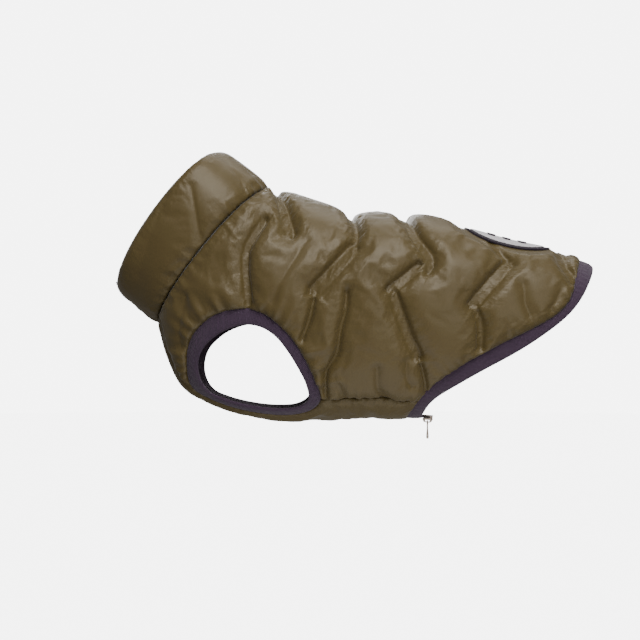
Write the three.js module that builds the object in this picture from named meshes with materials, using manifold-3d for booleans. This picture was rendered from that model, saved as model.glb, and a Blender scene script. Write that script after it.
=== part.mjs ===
// A dog's padded winter coat, zipped along the underside, in the form it takes on a wearer.
// Every cloth piece is cut from one body surface, addressed by station and angle:
// station is millimetres along the middle of the body from the collar seam, towards the tail;
// angle is degrees round the body from the spine (0) to the middle of the belly (180),
// negative on the side towards -Y. +X points to the tail and +Z up.
import * as THREE from 'three';
import { mergeVertices } from 'three/addons/utils/BufferGeometryUtils.js';
import Module from 'manifold-3d';

const wasm = await Module();
wasm.setup();

// Driving sizes, in millimetres and degrees
const WALL = 3;
const SEAM_GAP = 0.3;
// Added to each piece's half of a gap, for the places where a degree is shorter than the plane has it.
const GAP_ALLOWANCE = 0.05;
const DEGREE = Math.PI / 180;

// Pieces are laid out on an unrolled plane of station by girth, where a degree is about this long.
const MM_PER_DEGREE = 1.85;
// Along the belly a millimetre of cloth covers this much station.
const STATION_PER_BELLY_MM = 1.08;

// The body that the coat is cut for: the spine and belly points of each ring, and half its width.
const SECTIONS = [
  { ring: 'ahead of the collar', spineX: -126, spineZ: 83, bellyX: -241, bellyZ: -71, halfWidth: 64 },
  { ring: 'collar rim', spineX: -97, spineZ: 62, bellyX: -215, bellyZ: -96, halfWidth: 68 },
  { ring: 'collar middle', spineX: -68, spineZ: 41, bellyX: -191, bellyZ: -116, halfWidth: 72 },
  { ring: 'collar seam', spineX: -38, spineZ: 19, bellyX: -167, bellyZ: -140, halfWidth: 72 },
  { ring: 'base of the neck', spineX: -19, spineZ: 11, bellyX: -154, bellyZ: -181, halfWidth: 79 },
  { ring: 'withers', spineX: 0, spineZ: 3, bellyX: -137, bellyZ: -214, halfWidth: 85 },
  { ring: 'shoulder', spineX: 24, spineZ: -5, bellyX: -108, bellyZ: -232, halfWidth: 89 },
  { ring: 'elbow', spineX: 54, spineZ: -14, bellyX: -66, bellyZ: -246, halfWidth: 92 },
  { ring: 'chest', spineX: 86, spineZ: -16, bellyX: -20, bellyZ: -253, halfWidth: 93 },
  { ring: 'ribs', spineX: 120, spineZ: -16, bellyX: 24, bellyZ: -253, halfWidth: 92 },
  { ring: 'last ribs', spineX: 162, spineZ: -22, bellyX: 58, bellyZ: -251, halfWidth: 90 },
  { ring: 'loin', spineX: 204, spineZ: -32, bellyX: 83, bellyZ: -250, halfWidth: 87 },
  { ring: 'waist', spineX: 252, spineZ: -45, bellyX: 103, bellyZ: -251, halfWidth: 83 },
  { ring: 'hips', spineX: 300, spineZ: -55, bellyX: 119, bellyZ: -251, halfWidth: 79 },
  { ring: 'hem', spineX: 334, spineZ: -65, bellyX: 132, bellyZ: -252, halfWidth: 76 },
  { ring: 'hem edge', spineX: 360, spineZ: -76, bellyX: 154, bellyZ: -252.5, halfWidth: 74 },
  { ring: 'behind the hem', spineX: 408, spineZ: -102, bellyX: 194, bellyZ: -257, halfWidth: 70 },
];
const BACK_FULLNESS = 0.08;
const SIDE_FULLNESS = 0.22;

// Edges that run round the body: how far back each lies at each angle.
const COLLAR = { rimStation: -69, rimBow: -17, seamStation: 0, seamBow: -14 };
const HEM = [
  { angle: 0, clothStation: 364, freeStation: 377 },
  { angle: 30, clothStation: 370, freeStation: 386 },
  { angle: 60, clothStation: 390, freeStation: 399 },
  { angle: 76, clothStation: 386, freeStation: 400 },
  { angle: 95, clothStation: 368, freeStation: 394 },
  { angle: 120, clothStation: 345, freeStation: 376 },
  { angle: 138, clothStation: 341, freeStation: 366 },
  { angle: 158, clothStation: 351, freeStation: 374 },
  { angle: 180, clothStation: 362, freeStation: 385 },
];

// The leg hole: the cloth's edge, and the free edge of its binding.
const ARMHOLE = [
  { place: 'low front', clothStation: 67, clothAngle: 163, freeStation: 84, freeAngle: 157 },
  { place: 'front', clothStation: 50, clothAngle: 148, freeStation: 68, freeAngle: 148 },
  { place: 'front', clothStation: 39, clothAngle: 134, freeStation: 57, freeAngle: 137 },
  { place: 'front', clothStation: 39, clothAngle: 119, freeStation: 54, freeAngle: 126 },
  { place: 'upper front', clothStation: 49, clothAngle: 105, freeStation: 61, freeAngle: 113 },
  { place: 'top', clothStation: 68, clothAngle: 96, freeStation: 76, freeAngle: 104 },
  { place: 'top', clothStation: 90, clothAngle: 94, freeStation: 95, freeAngle: 101 },
  { place: 'upper back', clothStation: 113, clothAngle: 97, freeStation: 115, freeAngle: 103 },
  { place: 'back', clothStation: 135, clothAngle: 103, freeStation: 134, freeAngle: 109 },
  { place: 'back', clothStation: 157, clothAngle: 113, freeStation: 153, freeAngle: 118 },
  { place: 'back', clothStation: 177, clothAngle: 126, freeStation: 170, freeAngle: 129 },
  { place: 'low back', clothStation: 192, clothAngle: 141, freeStation: 180, freeAngle: 142 },
  { place: 'low back', clothStation: 186, clothAngle: 154, freeStation: 172, freeAngle: 151 },
  { place: 'between the legs', clothStation: 164, clothAngle: 162, freeStation: 152, freeAngle: 155 },
  { place: 'between the legs', clothStation: 130, clothAngle: 165, freeStation: 125, freeAngle: 157 },
  { place: 'between the legs', clothStation: 96, clothAngle: 166, freeStation: 101, freeAngle: 158 },
];
const ARMHOLE_FRONT_ROW = 0;
const ARMHOLE_BACK_ROW = 11;

// The belly panel's outer seam, ahead of the leg holes and behind them.
const CHEST_SEAM_ANGLE = 156;
const CHEST_SEAM_BEND = [25, 158];
const BELLY_SEAM_ANGLE = 141;
const ZIP_HALF_ANGLE = 4.4;
const ZIP_ANGLE = 180 - ZIP_HALF_ANGLE;

// Flat stitched bands that part the padding, with paths of [station, angle].
// They stand as on the -Y side; on the other side they lie a little further forward or back.
const QUILT_BANDS = [
  { band: 'withers', halfWidth: 7, path: [[5, 0], [20, 13], [46, 32], [70, 47]] },
  {
    band: 'shoulder',
    halfWidth: 4,
    path: [[30, 48], [31, 60], [34, 70], [46, 78], [60, 85], [72, 92]],
  },
  { band: 'ribs', halfWidth: 3.5, path: [[130, 0], [134, 13], [148, 31], [157, 47]] },
  { band: 'ribs', halfWidth: 8, path: [[156, 48], [147, 60], [134, 75]] },
  { band: 'ribs', halfWidth: 2, path: [[135, 77], [142, 90], [145, 102]] },
  {
    band: 'side',
    halfWidth: 2,
    path: [[171, 75], [177, 83], [182, 96], [189, 109], [186, 121], [197, 138]],
  },
  { band: 'loin', halfWidth: 7, path: [[202, 0], [210, 18], [224, 36], [246, 51], [248, 58]] },
  { band: 'loin', halfWidth: 6, path: [[240, 58], [230, 67], [221, 73]] },
  { band: 'loin', halfWidth: 6, path: [[226, 76], [243, 87], [265, 99], [286, 108]] },
  { band: 'loin', halfWidth: 2, path: [[298, 113], [338, 132]] },
  { band: 'hips', halfWidth: 5, path: [[293, 26], [305, 34], [316, 41]] },
  { band: 'hips', halfWidth: 7, path: [[315, 42], [312, 59], [310, 73]] },
  { band: 'hips', halfWidth: 4, path: [[311, 74], [330, 84], [351, 97]] },
  { band: 'hem', halfWidth: 6, path: [[341, 0], [346, 14], [356, 30], [376, 42]] },
];
const FAR_SIDE_SHIFT = 5;
const FAR_SIDE_TURN = 20;

// Folds pressed into the padding, beside the bands.
const FOLDS = [
  { fold: 'above the elbow', depth: 3, width: 7, path: [[95, 50], [92, 70], [96, 86]] },
  { fold: 'front of the chest', depth: 3, width: 6, path: [[10, 118], [24, 132], [34, 140]] },
  { fold: 'low on the ribs', depth: 3.5, width: 6, path: [[242, 116], [256, 130], [273, 138]] },
  { fold: 'hip', depth: 2.5, width: 7, path: [[338, 55], [352, 66], [366, 72]] },
  { fold: 'hem corner', depth: 2.5, width: 5, path: [[372, 52], [380, 66]] },
];
const COLLAR_FOLDS = [
  { fold: 'front of the collar', depth: 3.5, width: 15, path: [[-82, 78], [-68, 106], [-54, 134]] },
  { fold: 'middle of the collar', depth: 1.6, width: 9, path: [[-66, 62], [-44, 74], [-26, 84]] },
  { fold: 'nape', depth: 1.6, width: 10, path: [[-64, 22], [-36, 30], [-12, 40]] },
];

const BODY_PUFF = { height: 8, reach: 22 };
const COLLAR_PUFF = { height: 6.5, reach: 18 };
const BELLY_PUFF = { height: 4, reach: 11 };
const BINDING_PUFF = { height: 1, reach: 4 };

const LEAST_PADDING = 0.2;
const GATHERS = { count: 26, depth: 1.5, length: 15 };
const BADGE = {
  station: 304,
  halfLength: 36,
  halfAngle: 24,
  roundness: 2.6,
  turnStep: 4,
  pad: 3.5,
  thickness: 1.4,
};
const BADGE_SEAT = { share: 1.06, flatTo: 1.1, paddedFrom: 1.45 };
const BADGE_FACE = { share: 0.86, thickness: 0.6 };
const BADGE_BARS = {
  reach: 0.55,
  thickness: 0.5,
  rows: [
    { name: 'front', offset: -13, width: 7 },
    { name: 'middle', offset: 0, width: 7 },
    { name: 'rear', offset: 13, width: 7 },
  ],
};

// The zip
const TAPE = { width: 7, thickness: 1.2, beadWidth: 2.6, beadHeight: 1.3, step: 12, endStation: 391.5 };
const SLIDER = {
  length: 13,
  width: 9.6,
  plate: 1.2,
  throat: 3.5,
  post: 2.2,
  postInset: 0.4,
  noseShare: 0.32,
  shoulderShare: 0.1,
  station: 389,
};
const ZIP_BOX = { length: 8, width: 9, height: 3.6 };
const BRIDGE = { length: 9.4, width: 2.2, bar: 1.3, gap: 2.5 };
const TAB = {
  length: 21.5,
  width: 6.6,
  thickness: 1.7,
  pin: 0.85,
  windowLength: 6,
  windowWidth: 3.6,
  chamfer: 0.6,
  cornerShare: 0.35,
  waistPlace: 0.45,
  waistShare: 0.8,
};

// How closely the skins are divided into triangles
const GRID = {
  panel: 9.5,
  belly: 11,
  binding: 9,
  lining: 22,
  edge: 8,
  gatheredEdge: 3.8,
  freeEdge: 6,
  sweep: 4.6,
  path: 8,
};
// How near two points of a skin may come, as shares of the spacing, and how far each strays from its row.
const CLEARANCE = { ring: 0.8, edge: 0.6, point: 0.7, stray: 0.01 };
const SHARPEST_CORNER = 0.5;
const SAME_SPOT = 1e-6;
const WELD = 1e-4;
const JOIN_OVERLAP = 0.2;
const PLATE_CURVE_SEGMENTS = 6;
const PANEL_RINGS = [{ distance: 4, gap: 3 }, { distance: 9, gap: 4 }];
const BINDING_RINGS = [{ distance: 4, gap: 3 }];
const CURVE_POINTS_PER_ROW = 4;
const SEAM_POINTS_KEPT = 3;

const COLOURS = {
  shell: new THREE.MeshStandardMaterial({ color: 0x6b5c3c, roughness: 0.45, metalness: 0 }),
  binding: new THREE.MeshStandardMaterial({ color: 0x3a2b3a, roughness: 0.85, metalness: 0 }),
  tape: new THREE.MeshStandardMaterial({ color: 0x2e2430, roughness: 0.8, metalness: 0 }),
  badge: new THREE.MeshStandardMaterial({ color: 0xe9e4e6, roughness: 0.8, metalness: 0 }),
  metal: new THREE.MeshStandardMaterial({ color: 0xc9b7a4, roughness: 0.3, metalness: 0.9 }),
};

// Smooth interpolation between values that stand at the given knots.
function slopeAt(knots, values, row) {
  const before = Math.max(row - 1, 0);
  const after = Math.min(row + 1, knots.length - 1);
  return (values[after] - values[before]) / (knots[after] - knots[before]);
}

function smooth(knots, values, at) {
  let row = 0;
  while (row < knots.length - 2 && at > knots[row + 1]) row += 1;
  const span = knots[row + 1] - knots[row];
  const u = (at - knots[row]) / span;
  const rise = values[row + 1] - values[row];
  const a = slopeAt(knots, values, row) * span - rise;
  const b = rise - slopeAt(knots, values, row + 1) * span;
  return values[row] + u * rise + u * (1 - u) * ((1 - u) * a + u * b);
}

const column = (table, name) => table.map((row) => row[name]);

const STATIONS = (() => {
  const found = [0];
  for (let i = 1; i < SECTIONS.length; i += 1) {
    const [a, b] = [SECTIONS[i - 1], SECTIONS[i]];
    const dx = (b.spineX + b.bellyX - a.spineX - a.bellyX) / 2;
    const dz = (b.spineZ + b.bellyZ - a.spineZ - a.bellyZ) / 2;
    found.push(found[i - 1] + Math.hypot(dx, dz));
  }
  const seam = found[SECTIONS.findIndex((row) => row.ring === 'collar seam')];
  return found.map((station) => station - seam);
})();

// A point of the body surface.
function bodyPoint(station, angle) {
  const at = (name) => smooth(STATIONS, column(SECTIONS, name), station);
  const turn = Math.cos(angle * DEGREE);
  const down = (1 - turn) / 2;
  const bulge = Math.sin(angle * DEGREE) * (1 + BACK_FULLNESS * turn) * (1 + SIDE_FULLNESS * turn * turn);
  return new THREE.Vector3(
    at('spineX') * (1 - down) + at('bellyX') * down,
    at('halfWidth') * bulge,
    at('spineZ') * (1 - down) + at('bellyZ') * down,
  );
}

// The outward direction of the body surface.
function bodyNormal(station, angle) {
  const reach = 1;
  const along = bodyPoint(station + reach, angle).sub(bodyPoint(station - reach, angle));
  const round = bodyPoint(station, angle + reach).sub(bodyPoint(station, angle - reach));
  return along.cross(round).normalize();
}

const flip = (path) => path.map(([station, angle]) => [station, -angle]);
const onBody = (path) => path.map(([station, angle]) => bodyPoint(station, angle));

// Points at even steps along a path on the body.
function resample(path, step) {
  const spots = onBody(path);
  const lengths = [0];
  for (let i = 1; i < spots.length; i += 1) lengths.push(lengths[i - 1] + spots[i].distanceTo(spots[i - 1]));
  const count = Math.max(1, Math.round(lengths.at(-1) / step));
  const found = [];
  for (let k = 0, i = 0; k <= count; k += 1) {
    const want = (lengths.at(-1) * k) / count;
    while (i < lengths.length - 2 && lengths[i + 1] < want) i += 1;
    const u = (want - lengths[i]) / (lengths[i + 1] - lengths[i]);
    found.push([0, 1].map((axis) => path[i][axis] + (path[i + 1][axis] - path[i][axis]) * u));
  }
  return found;
}

// Edge curves
const angleSweep = (from, to, edge) => {
  const count = Math.ceil(Math.abs(to - from) / GRID.sweep);
  return Array.from({ length: count + 1 }, (_, i) => {
    const angle = from + ((to - from) * i) / count;
    return [edge(angle), angle];
  });
};
const rimStation = (angle) => COLLAR.rimStation + COLLAR.rimBow * Math.abs(Math.sin(angle * DEGREE));
const seamStation = (angle) => COLLAR.seamStation + COLLAR.seamBow * Math.abs(Math.sin(angle * DEGREE));
const hemStation = (angle) => smooth(column(HEM, 'angle'), column(HEM, 'clothStation'), Math.abs(angle));
const hemEdgeStation = (angle) => smooth(column(HEM, 'angle'), column(HEM, 'freeStation'), Math.abs(angle));

// The closed leg-hole curve through two columns of its table, one row after another.
function armholeSpan(stationName, angleName, fromRow, rows) {
  const n = ARMHOLE.length;
  const found = [];
  for (let k = 0; k < rows; k += 1) {
    const row = (step) => ARMHOLE[(fromRow + k + step + n) % n];
    for (let j = 0; j < CURVE_POINTS_PER_ROW; j += 1) {
      const u = j / CURVE_POINTS_PER_ROW;
      const blend = (name) => {
        const [a, b, c, d] = [row(-1)[name], row(0)[name], row(1)[name], row(2)[name]];
        return b + 0.5 * u * (c - a + u * (2 * a - 5 * b + 4 * c - d + u * (3 * (b - c) + d - a)));
      };
      found.push([blend(stationName), blend(angleName)]);
    }
  }
  const end = ARMHOLE[(fromRow + rows) % n];
  found.push([end[stationName], end[angleName]]);
  return found;
}

const UPPER_ROWS = ARMHOLE_BACK_ROW - ARMHOLE_FRONT_ROW;
const LOWER_ROWS = ARMHOLE.length - UPPER_ROWS;
const clothSpan = (fromRow, rows) => armholeSpan('clothStation', 'clothAngle', fromRow, rows);
const armholeTop = resample(clothSpan(ARMHOLE_FRONT_ROW, UPPER_ROWS), GRID.gatheredEdge);
const armholeLow = resample(clothSpan(ARMHOLE_BACK_ROW, LOWER_ROWS), GRID.edge);
const freeSpan = armholeSpan('freeStation', 'freeAngle', 0, ARMHOLE.length);
const armholeFree = resample(freeSpan, GRID.freeEdge).slice(1);
const frontCorner = armholeTop[0];
const backCorner = armholeTop.at(-1);
const chestTop = [seamStation(CHEST_SEAM_ANGLE), CHEST_SEAM_ANGLE];
const bellyEnd = [hemStation(BELLY_SEAM_ANGLE), BELLY_SEAM_ANGLE];
const chestSeam = resample([chestTop, CHEST_SEAM_BEND, frontCorner], GRID.edge);
const bellyBend = [backCorner[0] + GRID.lining, BELLY_SEAM_ANGLE];
const bellySeam = resample([backCorner, bellyBend, bellyEnd], GRID.edge);
const zipEnds = [seamStation, hemStation].map((edge) => [edge(ZIP_ANGLE), ZIP_ANGLE]);
const zipSeam = resample(zipEnds, GRID.edge);
const collarSeamUpper = angleSweep(0, CHEST_SEAM_ANGLE, seamStation);
const collarSeamLower = angleSweep(CHEST_SEAM_ANGLE, ZIP_ANGLE, seamStation);
const collarRim = angleSweep(0, ZIP_ANGLE, rimStation);
const hemUpper = resample(angleSweep(0, BELLY_SEAM_ANGLE, hemStation), GRID.edge);
const hemLower = resample(angleSweep(BELLY_SEAM_ANGLE, ZIP_ANGLE, hemStation), GRID.edge);
const hemEdge = resample(angleSweep(0, ZIP_ANGLE, hemEdgeStation), GRID.edge);

// One run of edge points after another, with no point twice; 'back' walks a run the other way.
const back = (path) => [...path].reverse();
function loop(...runs) {
  const found = [];
  for (const run of runs) {
    for (const spot of run) {
      const last = found.at(-1);
      if (!last || Math.hypot(last[0] - spot[0], last[1] - spot[1]) > SAME_SPOT) found.push(spot);
    }
  }
  const [a, b] = [found[0], found.at(-1)];
  if (Math.hypot(a[0] - b[0], a[1] - b[1]) < SAME_SPOT) found.pop();
  return found;
}

// The unrolled plane in which pieces are laid out, close to true millimetres.
const unroll = ([station, angle]) => new THREE.Vector2(station, angle * MM_PER_DEGREE);
const rollUp = (spot) => [spot.x, spot.y / MM_PER_DEGREE];

// Draws an outline in by a distance; a hole's outline, turned the other way, grows.
function inset(outline, distance) {
  const spots = outline.map(unroll);
  const turn = Math.sign(THREE.ShapeUtils.area(spots));
  return spots.map((spot, i) => {
    const before = spots[(i + spots.length - 1) % spots.length];
    const after = spots[(i + 1) % spots.length];
    const a = spot.clone().sub(before).normalize();
    const b = after.clone().sub(spot).normalize();
    const across = new THREE.Vector2(-(a.y + b.y), a.x + b.x).normalize();
    const widen = 1 / Math.max(SHARPEST_CORNER, across.dot(new THREE.Vector2(-b.y, b.x)));
    return spot.addScaledVector(across, turn * distance * widen);
  });
}

function inside(spot, outline) {
  let odd = false;
  for (let i = 0, j = outline.length - 1; i < outline.length; j = i, i += 1) {
    const [a, b] = [outline[i], outline[j]];
    const crossing = ((b.x - a.x) * (spot.y - a.y)) / (b.y - a.y) + a.x;
    if (a.y > spot.y !== b.y > spot.y && spot.x < crossing) odd = !odd;
  }
  return odd;
}

function distanceToSegment(p, a, b) {
  const along = b.clone().sub(a);
  const u = THREE.MathUtils.clamp(p.clone().sub(a).dot(along) / along.lengthSq(), 0, 1);
  return p.distanceTo(a.clone().addScaledVector(along, u));
}

function distanceToPath(p, path, closed = false) {
  let least = Infinity;
  for (let i = closed ? 0 : 1; i < path.length; i += 1) {
    least = Math.min(least, distanceToSegment(p, path[(i + path.length - 1) % path.length], path[i]));
  }
  return least;
}

// Delaunay triangles of points in a plane, by adding one point at a time.
function triangulate(spots) {
  const far = 1e5;
  const all = [...spots, { x: -far, y: -far }, { x: far, y: -far }, { x: 0, y: far }];
  const n = spots.length;
  const circle = (a, b, c) => {
    const [p, q, r] = [all[a], all[b], all[c]];
    const d = 2 * (p.x * (q.y - r.y) + q.x * (r.y - p.y) + r.x * (p.y - q.y));
    const [pp, qq, rr] = [p.x * p.x + p.y * p.y, q.x * q.x + q.y * q.y, r.x * r.x + r.y * r.y];
    const x = (pp * (q.y - r.y) + qq * (r.y - p.y) + rr * (p.y - q.y)) / d;
    const y = (pp * (r.x - q.x) + qq * (p.x - r.x) + rr * (q.x - p.x)) / d;
    return { a, b, c, x, y, reach: (p.x - x) ** 2 + (p.y - y) ** 2 };
  };
  let faces = [circle(n, n + 1, n + 2)];
  const done = [];
  const order = spots.map((_, i) => i).sort((i, j) => spots[i].x - spots[j].x);
  for (const i of order) {
    const spot = all[i];
    const edges = new Map();
    const kept = [];
    for (const face of faces) {
      const dx = spot.x - face.x;
      if (dx > 0 && dx * dx > face.reach) {
        done.push(face);
      } else if (dx * dx + (spot.y - face.y) ** 2 < face.reach) {
        for (const [u, v] of [[face.a, face.b], [face.b, face.c], [face.c, face.a]]) {
          const twin = `${v},${u}`;
          if (edges.has(twin)) edges.delete(twin);
          else edges.set(`${u},${v}`, [u, v]);
        }
      } else {
        kept.push(face);
      }
    }
    faces = kept;
    for (const [u, v] of edges.values()) faces.push(circle(u, v, i));
  }
  return [...done, ...faces]
    .map(({ a, b, c }) => [a, b, c])
    .filter((face) => Math.max(...face) < n);
}

// A skin laid out inside its edge loops: the loops, rings drawn in from them, and an even field of points.
function layOut(loops, rings, spacing, extra = []) {
  const spots = loops.flat();
  const edgeCount = spots.length;
  const drawnIn = [...extra];
  for (const { distance, gap } of rings) {
    const ring = [];
    const clear = distance * CLEARANCE.ring;
    for (const spot of loops.flatMap((edge, i) => inset(edge.map(rollUp), i === 0 ? distance : -distance))) {
      if (inside(spot, loops[0]) && loops.every((edge) => distanceToPath(spot, edge, true) > clear)
        && ring.every((other) => other.distanceTo(spot) > gap)) ring.push(spot);
    }
    drawnIn.push(...ring);
  }
  spots.push(...drawnIn);
  const box = new THREE.Box2().setFromPoints(loops[0]);
  const rowStep = spacing * Math.sqrt(0.75);
  for (let y = box.min.y, row = 0; y < box.max.y; y += rowStep, row += 1) {
    for (let x = box.min.x + (row % 2) * spacing * 0.5; x < box.max.x; x += spacing) {
      const spot = new THREE.Vector2(x + CLEARANCE.stray * Math.sin(y), y + CLEARANCE.stray * Math.sin(x));
      if (inside(spot, loops[0]) && !loops.slice(1).some((hole) => inside(spot, hole))
        && loops.every((edge) => distanceToPath(spot, edge, true) > spacing * CLEARANCE.edge)
        && drawnIn.every((other) => other.distanceTo(spot) > spacing * CLEARANCE.point)) spots.push(spot);
    }
  }
  const faces = triangulate(spots).filter(([a, b, c]) => {
    const middle = spots[a].clone().add(spots[b]).add(spots[c]).divideScalar(3);
    return inside(middle, loops[0]) && !loops.slice(1).some((hole) => inside(middle, hole));
  });
  return { spots, faces, edgeCount };
}

function geometryOf(corners, faces) {
  const flat = faces.flatMap((face) => face.flatMap((i) => corners[i].toArray()));
  const geometry = new THREE.BufferGeometry();
  geometry.setAttribute('position', new THREE.Float32BufferAttribute(flat, 3));
  geometry.computeVertexNormals();
  return geometry;
}

// A cloth piece: an outer skin raised by its padding over a plain inner skin, joined round every edge.
function clothPiece({
  outline, holes = [], rings = [], extra = [], spacing, liningSpacing, raise, base = () => 0, wall = WALL,
}) {
  const trim = SEAM_GAP / 2 + GAP_ALLOWANCE;
  const loops = [inset(outline, trim), ...holes.map((hole) => inset(hole, -trim))];
  const upright = loops.map((edge, i) => (THREE.ShapeUtils.area(edge) > 0 === (i === 0) ? edge : back(edge)));
  const outer = layOut(upright, rings, spacing, extra.map(unroll));
  const inner = layOut(upright, [], liningSpacing);
  const corners = [];
  outer.spots.forEach((spot, i) => {
    const [station, angle] = rollUp(spot);
    const lift = base(station, angle) + (i < outer.edgeCount ? 0 : raise(station, angle));
    corners.push(bodyPoint(station, angle).addScaledVector(bodyNormal(station, angle), lift));
  });
  const below = corners.length;
  inner.spots.forEach((spot) => {
    const [station, angle] = rollUp(spot);
    const lift = base(station, angle) - wall;
    corners.push(bodyPoint(station, angle).addScaledVector(bodyNormal(station, angle), lift));
  });
  const turned = (spots, [a, b, c]) => {
    const area = (spots[b].x - spots[a].x) * (spots[c].y - spots[a].y)
      - (spots[c].x - spots[a].x) * (spots[b].y - spots[a].y);
    return area > 0 ? [a, b, c] : [a, c, b];
  };
  const faces = outer.faces.map((face) => turned(outer.spots, face));
  faces.push(...inner.faces.map((face) => back(turned(inner.spots, face)).map((i) => i + below)));
  let start = 0;
  for (const edge of upright) {
    for (let i = 0; i < edge.length; i += 1) {
      const [a, b] = [start + i, start + ((i + 1) % edge.length)];
      faces.push([a, below + b, b], [a, below + a, below + b]);
    }
    start += edge.length;
  }
  return geometryOf(corners, faces);
}

// Padding height at a distance from the nearest line of stitches.
function puff({ height, reach }, distance) {
  const inward = THREE.MathUtils.clamp(distance / reach, 0, 1);
  return height * Math.sqrt(1 - (1 - inward) ** 2);
}
const leastDistance = (spot, lines) => Math.min(...lines.map((line) => distanceToPath(spot, line)));

// Lines on the body's surface that the padding is measured from, on both sides of the coat.
const mirrored = (path) => [path, flip(path)];
const farSide = (path) => path.map(([station, angle]) => (
  [station + FAR_SIDE_SHIFT * Math.sin(angle / FAR_SIDE_TURN), -angle]
));
const pressedLines = (table, bothSides) => table.flatMap(({ path, ...sizes }) => (
  bothSides(path).map((side) => ({ ...sizes, line: onBody(resample(side, GRID.path)) }))
));
const bodyBands = pressedLines(QUILT_BANDS, (path) => [path, farSide(path)]);
const bodyFolds = pressedLines(FOLDS, (path) => [path, farSide(path)]);
const collarFolds = pressedLines(COLLAR_FOLDS, mirrored);
const thin = (path) => path.filter((_, i) => i % SEAM_POINTS_KEPT === 0 || i === path.length - 1);
const seamLines = (...paths) => paths.flatMap(mirrored).map((path) => onBody(thin(path)));
const bodySeams = seamLines(collarSeamUpper, chestSeam, armholeTop, bellySeam, hemUpper);
const collarSeams = seamLines(collarRim, collarSeamUpper, collarSeamLower);
const armholeLines = mirrored(armholeTop).map(onBody);

const pressed = (spot, folds) => folds.reduce((sum, { depth, width, line }) => {
  const away = distanceToPath(spot, line) / width;
  return sum + depth * Math.exp(-away * away);
}, 0);

// How far inside the badge a place is: 0 at its middle and 1 at its edge.
const badgeReach = (station, angle) => (
  Math.abs((station - BADGE.station) / BADGE.halfLength) ** BADGE.roundness
  + Math.abs(angle / BADGE.halfAngle) ** BADGE.roundness) ** (1 / BADGE.roundness);

// Ridges of cloth gathered into the leg binding, along the top of the leg hole.
function gathers(spot) {
  let ridge = 0;
  for (const line of armholeLines) {
    const away = distanceToPath(spot, line);
    if (away > GATHERS.length * 2) continue;
    let nearest = 0;
    line.forEach((point, i) => {
      if (point.distanceTo(spot) < line[nearest].distanceTo(spot)) nearest = i;
    });
    const wave = Math.cos((2 * Math.PI * GATHERS.count * nearest) / line.length);
    ridge += GATHERS.depth * wave * Math.exp(-((away / GATHERS.length) ** 2));
  }
  return ridge;
}

function bodyHeight(station, angle) {
  const spot = bodyPoint(station, angle);
  const fromBand = ({ halfWidth, line }) => distanceToPath(spot, line) - halfWidth;
  const fromBands = Math.min(...bodyBands.map(fromBand));
  const fromStitches = Math.min(fromBands, leastDistance(spot, bodySeams));
  const padding = puff(BODY_PUFF, fromStitches) + gathers(spot) - pressed(spot, bodyFolds);
  const reach = badgeReach(station, angle);
  const padded = THREE.MathUtils.smoothstep(reach, BADGE_SEAT.flatTo, BADGE_SEAT.paddedFrom);
  return Math.max(LEAST_PADDING, padding * padded + BADGE.pad * (1 - padded));
}

function collarHeight(station, angle) {
  const spot = bodyPoint(station, angle);
  const padding = puff(COLLAR_PUFF, leastDistance(spot, collarSeams)) - pressed(spot, collarFolds);
  return Math.max(LEAST_PADDING, padding);
}

const bellyOutline = loop(
  chestSeam, back(armholeLow), bellySeam, hemLower, back(zipSeam), back(collarSeamLower),
);
function bellyHeight(side) {
  const edge = onBody(side < 0 ? flip(bellyOutline) : bellyOutline);
  return (station, angle) => puff(BELLY_PUFF, distanceToPath(bodyPoint(station, angle), edge, true));
}

function bindingHeight(...paths) {
  const lines = paths.map(onBody);
  return (station, angle) => puff(BINDING_PUFF, leastDistance(bodyPoint(station, angle), lines));
}

const group = new THREE.Group();
function add(name, geometry, material) {
  const mesh = new THREE.Mesh(geometry, material);
  mesh.name = name;
  group.add(mesh);
  return mesh;
}

// Cloth panels
const wholeRound = (half) => loop(back(flip(half)), half);

function backPanel() {
  const half = loop(collarSeamUpper, chestSeam, armholeTop, bellySeam, back(hemUpper));
  return clothPiece({
    outline: loop(half, back(flip(half))),
    rings: PANEL_RINGS,
    extra: badgeRing(BADGE_SEAT.share),
    spacing: GRID.panel,
    liningSpacing: GRID.lining,
    raise: bodyHeight,
  });
}

function bellyPanel(side) {
  return clothPiece({
    outline: side < 0 ? flip(bellyOutline) : bellyOutline,
    rings: PANEL_RINGS,
    spacing: GRID.belly,
    liningSpacing: GRID.lining,
    raise: bellyHeight(side),
  });
}

function collar() {
  const seam = wholeRound(loop(collarSeamUpper, collarSeamLower));
  return clothPiece({
    outline: loop(wholeRound(collarRim), back(seam)),
    rings: PANEL_RINGS,
    spacing: GRID.panel,
    liningSpacing: GRID.lining,
    raise: collarHeight,
  });
}

// Knitted bindings
function binding(outline, holes, raise) {
  return clothPiece({
    outline, holes, raise, rings: BINDING_RINGS, spacing: GRID.binding, liningSpacing: GRID.binding,
  });
}

function armholeBinding(side) {
  const turn = side < 0 ? flip : (path) => path;
  const edge = turn(loop(armholeTop, armholeLow));
  const free = turn(armholeFree);
  return binding(edge, [free], bindingHeight(edge, free));
}

function hemBinding() {
  const edge = wholeRound(loop(hemUpper, hemLower));
  const free = wholeRound(hemEdge);
  return binding(loop(edge, back(free)), [], bindingHeight(edge, free));
}

// Sewn-on badge: plain bars on a pale face on a dark ground, each layer a little above the last
function badgeRing(share) {
  const ring = [];
  const power = 2 / BADGE.roundness;
  for (let turn = 0; turn <= 360; turn += BADGE.turnStep) {
    const [c, s] = [Math.cos(turn * DEGREE), Math.sin(turn * DEGREE)];
    ring.push([
      BADGE.station + BADGE.halfLength * share * Math.sign(c) * Math.abs(c) ** power,
      BADGE.halfAngle * share * Math.sign(s) * Math.abs(s) ** power,
    ]);
  }
  return resample(ring, GRID.edge).slice(1);
}

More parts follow.
